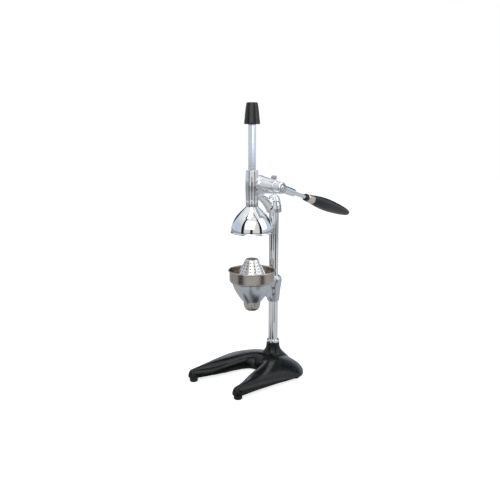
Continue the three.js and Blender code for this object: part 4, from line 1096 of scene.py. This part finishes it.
def grip_ferrule():
    start, end = GRIP_COLLAR_END + GAP, GRIP_START - GAP
    profile = rounded([
        (LEVER_BORE, start),
        (GRIP_COLLAR_RADIUS, start, EDGE),
        (FERRULE_WAIST, start + FERRULE_STEP, SOFT_EDGE),
        (FERRULE_END_RADIUS, end, EDGE),
        (LEVER_BORE, end),
    ])
    install(lathe("ferrule", profile, LEVER_PLACE, LEVER, RING_SIDES), "grip_ferrule", "nickel")


def lever_grip():
    length = LEVER_LENGTH - GRIP_START
    side = [(share * GRIP_RADIUS, GRIP_START + place * length) for share, place in GRIP_SHAPE]
    side = through([(GRIP_NECK, GRIP_START + EDGE), *side], GRIP_STEPS)
    bend = (side[-1][0] * GRIP_TIP_SHARE, LEVER_LENGTH + EDGE)
    tip = bezier([side[-1], bend, (0, LEVER_LENGTH)], GRIP_TIP_STEPS)
    bore_end = GRIP_START + GRIP_DEPTH + GAP
    bore = [(0, bore_end), (LEVER_BORE, bore_end), (LEVER_BORE, GRIP_START)]
    profile = [*bore, (GRIP_NECK - EDGE, GRIP_START), *side, *tip[1:]]
    install(lathe("grip", profile, LEVER_PLACE, LEVER), "lever_grip", "black_plastic")


def end_screw():
    low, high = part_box("shaft_end_screw")
    top = high.x
    seat = top - END_SCREW_HEAD
    dome = bezier([(END_SCREW, seat), (END_SCREW, top), (END_SCREW / 2, top)], END_SCREW_STEPS)
    profile = [(0, low.x), (END_SCREW_SHANK, low.x), (END_SCREW_SHANK, seat), *dome, (0, top)]
    screw = lathe("end_screw", profile, SHAFT_AXIS, SIDEWAYS, KNOB_SIDES)
    socket = rod(END_SCREW_SOCKET, seat + END_SCREW_FLOOR, top + OVERRUN)
    combine(screw, lathe("hexagon", socket, SHAFT_AXIS, SIDEWAYS, HEXAGON_SIDES))
    install(screw, "shaft_end_screw", "chrome")


def end_washer():
    low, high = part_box("shaft_end_washer")
    profile = ring(END_SCREW_SHANK + GAP, END_SCREW, low.x, high.x, EDGE / 2)
    washer = lathe("end_washer", profile, SHAFT_AXIS, SIDEWAYS, KNOB_SIDES)
    install(washer, "shaft_end_washer", "chrome")


# Ram

TOOTH_MODULE = 2.5 * MM
TOOTH_ROOT = 1.25 * TOOTH_MODULE
TOOTH_DEPTH = 2.25 * TOOTH_MODULE
TOOTH_HALF_WIDTH = 4.3 * MM
PRESSURE_ANGLE = math.radians(20)
RAM_TRAVEL = 90 * MM
RACK_EDGE = 0.5 * MM
RACK_BORE_DEPTH = 30 * MM
RACK_SEAT = 12 * MM
BELL_RADIUS = 52.6 * MM
BELL_HEIGHT = 65 * MM
BELL_WALL = 3.4 * MM
BELL_BEAD = 1.4 * MM
BELL_CAVITY = 45 * MM
BELL_RIM = 371.9 * MM
BELL_FLANK = BELL_RIM + 0.56 * BELL_HEIGHT
BELL_SHOULDER = BELL_RIM + 0.73 * BELL_HEIGHT
BELL_SHOULDER_RADIUS = 0.62 * BELL_RADIUS
BELL_STEPS = 40
BELL_ROOF = BELL_RIM + BELL_CAVITY
BELL_ROOF_RADIUS = 0.36 * BELL_RADIUS
BELL_INNER_BEND = BELL_RIM + 0.72 * BELL_CAVITY
BELL_INNER_STEPS = 32
BEAD_TOP = BELL_RIM + 3 * BELL_BEAD
BEAD_BEND = BELL_RIM + 2.4 * BELL_BEAD
BEAD_BEND_RADIUS = BELL_RADIUS + 0.9 * BELL_BEAD
BEAD_FOOT_RADIUS = BELL_RADIUS + 1.6 * BELL_BEAD
BEAD_STEPS = 12
NECK_RADIUS = 15.6 * MM
NECK_TOP = 453.5 * MM
NECK_FOOT = 436.9 * MM
BELL_SCREW_RADIUS = 7 * MM
BELL_SCREW_TIP_RADIUS = 0.8 * BELL_SCREW_RADIUS
BELL_SCREW_HEAD = 4.4 * MM
BELL_SCREW_SHANK = 4 * MM
CAP_FOOT = 635.6 * MM
CAP_HEIGHT = 51 * MM
CAP_RADIUS = 19.3 * MM
CAP_TOP_RADIUS = 13.6 * MM
CAP_EDGE = 2.5 * MM
CAP_LOW_BEND = CAP_FOOT + 0.45 * CAP_HEIGHT
CAP_HIGH_BEND = CAP_FOOT + 0.75 * CAP_HEIGHT
CAP_STEPS = 24
CAP_EDGE_STEPS = 6


def rack():
    low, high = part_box("rack_bar")
    bar = box_object("rack", low, high)
    add_bevel(bar, RACK_EDGE)
    pitch = math.pi * TOOTH_MODULE
    slope = math.tan(PRESSURE_ANGLE)
    root, mouth = high.y - TOOTH_DEPTH, high.y + OVERRUN
    root_half = pitch / 4 - TOOTH_ROOT * slope
    mouth_half = root_half + (mouth - root) * slope
    spaces = []
    for k in range(-2, math.ceil((RAM_TRAVEL + 1.5 * pitch) / pitch)):
        z = SHAFT.z + (k + 0.5) * pitch
        spaces.append(block("space", [
            (x, y, z + side * half)
            for x in (-TOOTH_HALF_WIDTH, TOOTH_HALF_WIDTH)
            for y, half in ((root, root_half), (mouth, mouth_half))
            for side in (-1, 1)
        ]))
    combine(bar, merge("spaces", spaces))
    bore = rod(BELL_SCREW_SHANK + GAP, low.z - OVERRUN, low.z + RACK_BORE_DEPTH)
    combine(bar, lathe("bore", bore, RAM_AXIS, UP, SCREW_SIDES))
    install(bar, "rack_bar", "plated_rack")


def rack_room(name, start, end):
    """A square room for the rack's end."""
    low = (-RACK_ROOM, RAM_Y - RACK_ROOM, start)
    return box_object(name, low, (RACK_ROOM, RAM_Y + RACK_ROOM, end))


def cap():
    top = CAP_FOOT + CAP_HEIGHT
    side = bezier([
        (CAP_RADIUS, CAP_FOOT + CAP_EDGE),
        (CAP_RADIUS - CAP_EDGE, CAP_LOW_BEND),
        (CAP_TOP_RADIUS + CAP_EDGE, CAP_HIGH_BEND),
        (CAP_TOP_RADIUS, top - CAP_EDGE),
    ], CAP_STEPS)
    foot = [(CAP_RADIUS - CAP_EDGE, CAP_FOOT), (CAP_RADIUS, CAP_FOOT), side[0]]
    crown = [side[-1], (CAP_TOP_RADIUS, top), (CAP_TOP_RADIUS - CAP_EDGE, top)]
    foot, crown = bezier(foot, CAP_EDGE_STEPS), bezier(crown, CAP_EDGE_STEPS)
    piece = lathe("cap", [(0, CAP_FOOT), *foot, *side[1:-1], *crown, (0, top)], RAM_AXIS, UP)
    combine(piece, rack_room("room", CAP_FOOT - OVERRUN, CAP_FOOT + RACK_SEAT + GAP))
    install(piece, "rack_cap", "black_plastic")


def bell():
    outer = bezier([
        (BELL_RADIUS - BELL_BEAD / 2, BEAD_TOP),
        (BELL_RADIUS - BELL_BEAD, BELL_FLANK),
        (BELL_SHOULDER_RADIUS, BELL_SHOULDER),
        (NECK_RADIUS, NECK_FOOT),
    ], BELL_STEPS)
    inner = bezier([
        (0, BELL_ROOF),
        (BELL_ROOF_RADIUS, BELL_ROOF),
        (BELL_RADIUS - BELL_WALL - BELL_BEAD, BELL_INNER_BEND),
        (BELL_RADIUS - BELL_WALL, BELL_RIM),
    ], BELL_INNER_STEPS)
    bead = bezier([
        (BELL_RADIUS - EDGE, BELL_RIM),
        (BEAD_FOOT_RADIUS, BELL_RIM),
        (BEAD_BEND_RADIUS, BEAD_BEND),
        outer[0],
    ], BEAD_STEPS)
    neck = rounded([(NECK_RADIUS, NECK_FOOT + SOFT_EDGE), (NECK_RADIUS, NECK_TOP, SOFT_EDGE), (0, NECK_TOP)])
    piece = lathe("bell", [*inner, *bead, *outer[1:], *neck], RAM_AXIS, UP)
    head = rod(BELL_SCREW_RADIUS + GAP, BELL_RIM, BELL_ROOF + BELL_SCREW_HEAD)
    shank = rod(BELL_SCREW_SHANK + GAP, BELL_RIM, NECK_TOP)
    combine(
        piece,
        rack_room("seat", NECK_TOP - RACK_SEAT, NECK_TOP + OVERRUN),
        lathe("head_room", head, RAM_AXIS, UP, KNOB_SIDES),
        lathe("bore", shank, RAM_AXIS, UP, BORE_SIDES),
    )
    install(piece, "press_bell", "chrome")


def bell_screw():
    low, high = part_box("bell_screw")
    seat = low.z + BELL_SCREW_HEAD
    screw = lathe("bell_screw_body", rounded([
        (0, low.z),
        (BELL_SCREW_TIP_RADIUS, low.z, EDGE),
        (BELL_SCREW_RADIUS, low.z + BELL_SCREW_HEAD / 2, SOFT_EDGE),
        (BELL_SCREW_RADIUS, seat, EDGE),
        (BELL_SCREW_SHANK, seat),
        (BELL_SCREW_SHANK, high.z, EDGE),
        (0, high.z),
    ]), RAM_AXIS, UP, SMALL_SIDES)
    install(screw, "bell_screw", "dark_steel")


# Cup holder

HOLDER_TOP = 245.6 * MM
HOLDER_HEIGHT = 48 * MM
HOLDER_FOOT = HOLDER_TOP - HOLDER_HEIGHT
HOLDER_TOP_RADIUS = 50.3 * MM
HOLDER_FOOT_RADIUS = 24.6 * MM
HOLDER_BEND_RADIUS = 0.935 * HOLDER_TOP_RADIUS
HOLDER_BEND = HOLDER_TOP - 0.44 * HOLDER_HEIGHT
HOLDER_STEPS = 10
HOLDER_WALL = 3.2 * MM
HOLDER_FOOT_WALL = 2.3 * MM
HOLDER_FILLET = 4 * MM
HOLDER_STEP = 1 * MM
HOLLOW_OVERRUN = 9 * MM
SLEEVE_FOOT = 179.6 * MM
SLEEVE_HEIGHT = 69 * MM
SLEEVE_RADIUS = 21.8 * MM
SLEEVE_SHAPE = [(0.66, 0), (0.725, 0.045), (0.83, 0.4), (1, 0.77), (0.93, 0.93), (0.7, 1)]
SLEEVE_STEPS = 20
WEB_HALF = 9 * MM
WEB_BEND_SHARE = 0.4
WEB_STEPS = 8
WEB_DROP = 1 * MM
WEB_EDGE = 2 * MM
HOLDER_SCREW_TURN = math.radians(42)
HOLDER_SCREW_WAY = Vector((math.sin(HOLDER_SCREW_TURN), -math.cos(HOLDER_SCREW_TURN), 0))


def holder_side(steps, inset, foot_inset):
    """The cup's curve from rim to foot, moved in by the insets."""
    return bezier([
        (HOLDER_TOP_RADIUS - inset, HOLDER_TOP),
        (HOLDER_BEND_RADIUS - inset, HOLDER_BEND),
        (HOLDER_FOOT_RADIUS - foot_inset, HOLDER_FOOT),
    ], steps)


def web_field(p):
    """The web between the cup and the sleeve."""
    start, end = RAM_Y + HOLDER_FOOT_RADIUS, COLUMN_Y - COLUMN_RADIUS
    bend = COLUMN_Y + WEB_BEND_SHARE * (start + end - 2 * COLUMN_Y)
    underside = bezier([
        (start, HOLDER_FOOT), (bend, HOLDER_FOOT + WEB_HALF), (end, SLEEVE_FOOT + HOLDER_WALL),
    ], WEB_STEPS)
    top = HOLDER_TOP - WEB_DROP
    return slab_field(p, 1, 0, [*underside, (end, top), (start, top)], WEB_HALF, WEB_EDGE)


def sleeve_field(p):
    points = [(r * SLEEVE_RADIUS, SLEEVE_FOOT + z * SLEEVE_HEIGHT) for r, z in SLEEVE_SHAPE]
    swell = through(points, SLEEVE_STEPS)
    profile = [(0, SLEEVE_FOOT), *swell, (0, SLEEVE_FOOT + SLEEVE_HEIGHT)]
    return turned_field(p, profile, COLUMN_AXIS, UP)


def holder_cuts(p):
    """The cup's hollow, the column's bore and the holes of the two screws."""
    hollow = [
        (0, HOLDER_TOP + HOLLOW_OVERRUN),
        (HOLDER_TOP_RADIUS - HOLDER_WALL, HOLDER_TOP + HOLLOW_OVERRUN),
        *holder_side(HOLDER_STEPS, HOLDER_WALL, HOLDER_FOOT_WALL),
        (HOLDER_FOOT_RADIUS - HOLDER_FOOT_WALL, HOLDER_FOOT - HOLLOW_OVERRUN),
        (0, HOLDER_FOOT - HOLLOW_OVERRUN),
    ]
    cuts = [turned_field(p, hollow, RAM_AXIS, UP)]
    cuts.append(rod_field(p, COLUMN_BORE, -BEYOND, BEYOND, (0, COLUMN_Y, SLEEVE_FOOT), UP))
    for node in ("holder_screw_1", "holder_screw_2"):
        place = (0, COLUMN_Y, middle(node).z)
        cuts.append(rod_field(p, SCREW_HOLE, COLUMN_RADIUS, BEYOND, place, HOLDER_SCREW_WAY))
    return cuts


def holder_field(p):
    y, z = p[..., 1], p[..., 2]
    profile = [(0, HOLDER_FOOT), (0, HOLDER_TOP), *holder_side(HOLDER_STEPS, 0, 0)]
    cup = turned_field(p, profile, RAM_AXIS, UP)
    shape = union(union(cup, web_field(p), HOLDER_FILLET), sleeve_field(p), HOLDER_FILLET)
    shape = np.maximum(shape, np.where(y < COLUMN_Y - SLEEVE_RADIUS, z - HOLDER_TOP, -np.inf))
    shape = np.maximum(shape, SLEEVE_FOOT - z)
    return without(shape, *holder_cuts(p))


# Set screws

SET_SCREW_RADIUS = 3 * MM
HEXAGON_SHARE = 0.55
SET_SCREWS = {
    "head_set_screw": (5.8 * MM, BACKWARDS),
    "lever_set_screw": (3.4 * MM, LEVER_UNDERSIDE),
    "holder_screw_1": (4 * MM, HOLDER_SCREW_WAY),
    "holder_screw_2": (4 * MM, HOLDER_SCREW_WAY),
}


def set_screws():
    """Screws without heads, each with a hexagonal socket in its outer end."""
    for node, (length, way) in SET_SCREWS.items():
        centre, half = middle(node), length / 2
        profile = rod(SET_SCREW_RADIUS, -half, half, EDGE)
        screw = lathe(node + "_body", profile, centre, way, SCREW_SIDES)
        socket = rod(HEXAGON_SHARE * SET_SCREW_RADIUS, half - SET_SCREW_RADIUS, half + OVERRUN)
        combine(screw, lathe("hexagon", socket, centre, way, HEXAGON_SIDES))
        install(screw, node, "dark_steel")


# Funnel

RIM_HEIGHT = 278 * MM
RIM_RADIUS = 60 * MM
RIM_BEAD = 2.1 * MM
RIM_START = -90
RIM_SWEEP = 207
RIM_STEPS = 16
BAND_RADIUS = 56.8 * MM
FUNNEL_WALL = 1.3 * MM
SPOUT_LENGTH = 24 * MM
SPOUT_MOUTH = 14.5 * MM
SPOUT_BEND = HOLDER_FOOT - 0.75 * SPOUT_LENGTH
FUNNEL_STEPS = 24
CORNER_STEPS = 12


def funnel():
    ledge = HOLDER_TOP + GAP
    cone, foot = HOLDER_WALL + GAP, HOLDER_FOOT_WALL + GAP
    outside = holder_side(FUNNEL_STEPS, cone, foot)[::-1]
    inside = holder_side(FUNNEL_STEPS, cone + FUNNEL_WALL, foot + FUNNEL_WALL)
    spout_radius = HOLDER_FOOT_RADIUS - foot
    spout = bezier([
        (spout_radius, HOLDER_FOOT),
        (spout_radius, SPOUT_BEND),
        (SPOUT_MOUTH, HOLDER_FOOT - SPOUT_LENGTH),
    ], FUNNEL_STEPS)
    corner = [
        (HOLDER_TOP_RADIUS, ledge),
        (BAND_RADIUS, ledge),
        (BAND_RADIUS, ledge + BAND_RADIUS - HOLDER_TOP_RADIUS),
    ]
    corner_out = bezier(corner, CORNER_STEPS)
    corner_in = [(radius - FUNNEL_WALL, height + FUNNEL_WALL) for radius, height in corner_out]
    profile = [
        *spout[::-1],
        *outside[1:],
        *corner_out,
        (BAND_RADIUS, RIM_HEIGHT - 2 * RIM_BEAD),
        *rim_bead(),
        (BAND_RADIUS - FUNNEL_WALL, RIM_HEIGHT - RIM_BEAD),
        *corner_in[::-1],
        (HOLDER_TOP_RADIUS - cone - FUNNEL_WALL, ledge + FUNNEL_WALL),
        *inside[1:-1],
        *[(radius - FUNNEL_WALL, height) for radius, height in spout],
    ]
    install(lathe("funnel", profile, RAM_AXIS, UP, WIDE_SIDES), "juice_funnel", "stainless")


def rim_bead():
    radius, height = RIM_RADIUS - RIM_BEAD, RIM_HEIGHT - RIM_BEAD
    angles = [math.radians(RIM_START + RIM_SWEEP * k / RIM_STEPS) for k in range(RIM_STEPS + 1)]
    return [(radius + RIM_BEAD * math.cos(a), height + RIM_BEAD * math.sin(a)) for a in angles]


# Reamer

REAMER_FOOT = 247.5 * MM
REAMER_HEIGHT = 58 * MM
REAMER_FOOT_RADIUS = 45 * MM
REAMER_TOP_RADIUS = 15.4 * MM
REAMER_WALL = 1.4 * MM
REAMER_EDGE = 0.7 * MM
REAMER_LEVELS = 29
REAMER_SHARP = 30
REAMER_RIBS = 8
RIB_SPACING = 2 * math.pi / REAMER_RIBS
RIB_RISE = 0.06
RIB_TURN = math.radians(4)
RIB_TOP_FADE = 0.17
RIB_FOOT_FADE = 0.2
RIB_STEPS = 8
FACET_STEPS = 10
HOLE_RADIUS = 1.7 * MM
HOLE_ROWS = 5
HOLE_PITCH = 7 * MM
HOLE_MARGIN = 7.5 * MM
HOLE_INNER = 4 * MM
HOLE_OUTER = 3 * MM


def reamer_radius(level, turn):
    share = level / REAMER_HEIGHT
    plain = mix(REAMER_FOOT_RADIUS, REAMER_TOP_RADIUS, share)
    fade = min(1, (1 - share) / RIB_TOP_FADE) * min(1, share / RIB_FOOT_FADE)
    ridge = max(0, 1 - abs(turn % RIB_SPACING - RIB_SPACING / 2) / RIB_TURN)
    return plain * (1 + RIB_RISE * fade * ridge)


def reamer_turns():
    """Turns round the cone, closer together on the ribs."""
    turns = []
    for rib in range(REAMER_RIBS):
        start = rib * RIB_SPACING
        ridge = start + RIB_SPACING / 2 - RIB_TURN
        after, end = ridge + 2 * RIB_TURN, start + RIB_SPACING
        stretches = (start, ridge, FACET_STEPS), (ridge, after, RIB_STEPS), (after, end, FACET_STEPS)
        for first, last, steps in stretches:
            turns += list(np.linspace(first, last, steps, endpoint=False))
    return turns


def reamer_shell():
    """Rows of vertices up the outside and down the inside, with a flat crown on both."""
    turns = reamer_turns()
    levels = [REAMER_HEIGHT * k / REAMER_LEVELS for k in range(REAMER_LEVELS)]
    crown = len(levels) + 1
    rows = [(level, 0) for level in levels]
    rows += [(REAMER_HEIGHT - REAMER_EDGE, 0), (REAMER_HEIGHT, REAMER_EDGE)]
    rows += [(REAMER_HEIGHT - REAMER_WALL, REAMER_WALL)]
    rows += [(level, REAMER_WALL) for level in reversed(levels)]
    vertices, faces = [], []
    for level, inset in rows:
        for turn in turns:
            radius = reamer_radius(level, turn) - inset
            x, y = radius * math.sin(turn), RAM_Y - radius * math.cos(turn)
            vertices.append((x, y, REAMER_FOOT + level))
    count = len(turns)
    sides = [(i, (i + 1) % count) for i in range(count)]
    for k in range(len(rows)):
        near, far = k * count, (k + 1) % len(rows) * count
        if k != crown:
            faces += [(near + i, near + j, far + j, far + i) for i, j in sides]
    for k in (crown, crown + 1):
        faces += [(k * count + i, k * count + j, len(vertices)) for i, j in sides]
        vertices.append((0, RAM_Y, REAMER_FOOT + rows[k][0]))
    return mesh_object("reamer", vertices, faces, REAMER_SHARP)


def reamer_holes():
    slope = math.atan2(REAMER_FOOT_RADIUS - REAMER_TOP_RADIUS, REAMER_HEIGHT)
    profile = rod(HOLE_RADIUS, -HOLE_INNER, HOLE_OUTER)
    holes = []
    for row in range(HOLE_ROWS):
        level = REAMER_HEIGHT - HOLE_MARGIN - row * HOLE_PITCH
        for k in range(2 * REAMER_RIBS):
            turn = RIB_SPACING * (k + 0.5) / 2
            flat = Vector((math.sin(turn), -math.cos(turn), 0))
            outward = flat * math.cos(slope) + UP * math.sin(slope)
            place = Vector(RAM_AXIS) + flat * reamer_radius(level, 0) + UP * (REAMER_FOOT + level)
            holes.append(lathe("hole", profile, place, outward, HOLE_SIDES))
    return merge("holes", holes)


def reamer():
    shell = reamer_shell()
    inner, outer = REAMER_FOOT_RADIUS - REAMER_WALL, HOLDER_TOP_RADIUS - REAMER_WALL
    flange = ring(inner, outer, REAMER_FOOT, REAMER_FOOT + REAMER_WALL, EDGE)
    combine(shell, lathe("flange", flange, RAM_AXIS, UP, WIDE_SIDES), operation="UNION")
    combine(shell, reamer_holes(), sharp=REAMER_SHARP)
    install(shell, "reamer_strainer", "bright_steel")


# CAD nodes that stay, mostly inside the castings

KEPT = {
    "dark_steel": ("tie_rod_nut", "pinion_shaft", "pinion_key", "pinion_gear", "pinion_spacer"),
    "bronze": ("barrel_bush", "cover_bush"),
}


def kept_nodes():
    for look, nodes in KEPT.items():
        for node in nodes:
            dress(frame["nodes"][node], look)


# Studio

FLOOR_HALF = 6
FLOOR_DEPTH = 0.02
FLOOR_COLOR = (0.80, 0.80, 0.80)
FLOOR_ROUGHNESS = 0.9
FLOOR_GLOW = 0.8
FLOOR_GLOW_MIRRORED = 0.06
WORLD_LIGHT = 0.35
WORLD_TONES = [(0, (0.68, 0.75, 0.86)), (0.5, (0.56, 0.63, 0.75)), (1, (0.84, 0.80, 0.76))]
SKY_START = 0.4
SKY_END = 0.8
SKY_WHITE = 0.96
CARD_DARKNESS = (0.012, 0.012, 0.014)
FLOOR_CLEARANCE = 2 * MM
STRIP_LEAN = 2 * MM
HIGH_CARD_TARGET = (0, RAM_Y, 0.4)
HIGH_CARD_DISTANCE = 0.8
HIGH_CARD_HEIGHT = 2.7
HIGH_CARD_LENGTH = 1.3

# Name, turn from the camera, distance, foot, top and width
STANDING_CARDS = [
    ("left_low_card", -52, 0.6, 0, 0.3, 0.26),
    ("right_low_card", 46, 0.6, 0, 0.3, 0.24),
    ("left_card", -50, 1.3, 0, 2.5, 0.34),
    ("right_card", 47, 1.3, 0, 2.5, 0.3),
    ("front_card", -5, 0.78, 0.2, 0.5, 0.17),
    ("back_card", 180, 1.5, 0.55, 1.35, 3.2),
]

# Name, turn from the camera and width
HIGH_CARDS = [("left_high_card", -62, 0.3), ("right_high_card", 47, 0.16)]

# Name, turn from the camera, near end, far end, width and the axis that it points at
FLOOR_STRIPS = [
    ("left_strip", -50, 0.62, 1.3, 0.3, COLUMN_Y),
    ("right_strip", 47, 0.62, 1.3, 0.1, COLUMN_Y),
    ("front_strip", -6, 0.1, 0.5, 0.04, RAM_Y),
    ("right_near_strip", 26, 0.3, 0.85, 0.09, COLUMN_Y),
]


def around(turn, distance, height, centre=COLUMN_Y):
    """A place round the press. Turns are in degrees from the camera, to its right."""
    angle = CAMERA_AZIMUTH + math.radians(turn)
    return Vector((math.sin(angle) * distance, centre - math.cos(angle) * distance, height))


def face(piece, place, way):
    """Puts a piece at a place, looking along way."""
    piece.location = place
    piece.rotation_mode = "QUATERNION"
    piece.rotation_quaternion = way.to_track_quat("-Z", "Y")


def camera():
    data = bpy.data.cameras.new("camera")
    data.lens = CAMERA_LENS
    data.sensor_width = CAMERA_SENSOR
    piece = add_object("camera", data)
    bpy.context.scene.camera = piece
    turn = CAMERA_AZIMUTH - CAMERA_YAW
    ahead = Vector((-math.sin(turn), math.cos(turn), 0))
    forward = ahead * math.cos(CAMERA_PITCH) - UP * math.sin(CAMERA_PITCH)
    face(piece, around(0, CAMERA_DISTANCE, CAMERA_HEIGHT), forward)


def plain_material(name, color, roughness):
    made, tree, shader = new_material(name)
    settle(tree, shader, {"Base Color": (*color, 1), "Metallic": 0, "Roughness": roughness})
    return made, tree, shader


def floor():
    reach = FLOOR_HALF
    piece = box_object("floor", (-reach, -reach, -FLOOR_DEPTH), (reach, reach, 0))
    made, tree, shader = plain_material("floor", FLOOR_COLOR, FLOOR_ROUGHNESS)
    glow = add_node(tree, "Emission", {"Strength": by_ray(tree, FLOOR_GLOW, FLOOR_GLOW_MIRRORED, 0)})
    both = add_node(tree, "AddShader", {0: shader.outputs["BSDF"], 1: glow.outputs["Emission"]})
    settle(tree, tree.nodes["Material Output"], {"Surface": both.outputs["Shader"]})
    piece.data.materials.append(made)


def world():
    """White for the camera. Shiny surfaces see warm light in front and cool light behind."""
    studio_world = bpy.data.worlds.new("studio")
    bpy.context.scene.world = studio_world
    studio_world.use_nodes = True
    tree = studio_world.node_tree
    place = add_node(tree, "TexCoord", {}).outputs["Generated"]
    front = (math.sin(CAMERA_AZIMUTH), -math.cos(CAMERA_AZIMUTH), 0)
    facing = add_node(tree, "VectorMath", {0: place, 1: front}, operation="DOT_PRODUCT")
    tones = colours(tree, spread(tree, facing.outputs["Value"], -1, 1), WORLD_TONES)
    height = add_node(tree, "SeparateXYZ", {"Vector": place}).outputs["Z"]
    sky = white_mix(tree, spread(tree, height, SKY_START, SKY_END), tones, SKY_WHITE)
    seen = add_node(tree, "LightPath", {}).outputs["Is Camera Ray"]
    settle(tree, tree.nodes["Background"], {
        "Color": white_mix(tree, seen, sky, 1),
        "Strength": by_ray(tree, 1, 1, WORLD_LIGHT),
    })


def lamp(name, place, target, size, power):
    data = bpy.data.lights.new(name, "AREA")
    data.shape = "RECTANGLE"
    data.size, data.size_y = size
    data.energy = power
    face(add_object(name, data), place, Vector(target) - Vector(place))


def card(name, place, way, size):
    """A dark panel that only shiny surfaces see, for the dark edges of polished metal."""
    x, y = size[0] / 2, size[1] / 2
    mesh = bpy.data.meshes.new(name)
    mesh.from_pydata([(-x, -y, 0), (x, -y, 0), (x, y, 0), (-x, y, 0)], [], [(0, 1, 2, 3)])
    panel = add_object(name, mesh)
    face(panel, place, way)
    mesh.materials.append(plain_material(name, CARD_DARKNESS, 1)[0])
    panel.visible_camera = False
    panel.visible_diffuse = False
    panel.visible_shadow = False
    panel.visible_transmission = False


def standing_card(name, turn, distance, foot, top, width):
    place = around(turn, distance, (foot + top) / 2)
    card(name, place, Vector((0, COLUMN_Y, place.z)) - place, (width, top - foot))


def high_card(name, turn, width):
    place = around(turn, HIGH_CARD_DISTANCE, HIGH_CARD_HEIGHT)
    card(name, place, Vector(HIGH_CARD_TARGET) - place, (width, HIGH_CARD_LENGTH))


def floor_strip(name, turn, near, far, width, centre):
    """A dark strip on the floor that points at the press."""
    place = around(turn, (near + far) / 2, FLOOR_CLEARANCE, centre)
    inward = (Vector((0, centre, FLOOR_CLEARANCE)) - place).normalized()
    card(name, place, inward * STRIP_LEAN - UP, (width, far - near))


# Name, place, target, width and length, and power in watts
LAMPS = [
    ("key", around(-12, 2.5, 2.0), (0, RAM_Y, 0.35), (3.0, 2.2), 24),
    ("side", around(75, 2.0, 1.5), (0, RAM_Y, 0.35), (1.4, 2.0), 9),
    ("top", (0, 0.15, 2.3), (0, -0.02, 0.3), (0.6, 2.4), 9),
]


def studio():
    floor()
    world()
    for values in LAMPS:
        lamp(*values)
    for values in STANDING_CARDS:
        standing_card(*values)
    for values in HIGH_CARDS:
        high_card(*values)
    for values in FLOOR_STRIPS:
        floor_strip(*values)
    bpy.context.scene.view_settings.view_transform = "Standard"


column()
collar()
tie_rod()
tie_rod_washer()
base()
feet()
field_for("head_casting", "head", head_field, HEAD_STEP, "cast_chrome")
gear_cover()
cover_screws()
set_screws()
field_for("lever_hub", "hub_of_lever", hub_field, HUB_STEP, "cast_chrome")
lever_rod()
grip_collar()
grip_ferrule()
lever_grip()
end_screw()
end_washer()
rack()
cap()
bell()
bell_screw()
field_for("cup_holder", "holder", holder_field, HOLDER_STEP, "satin_cast")
funnel()
reamer()
kept_nodes()
camera()
studio()
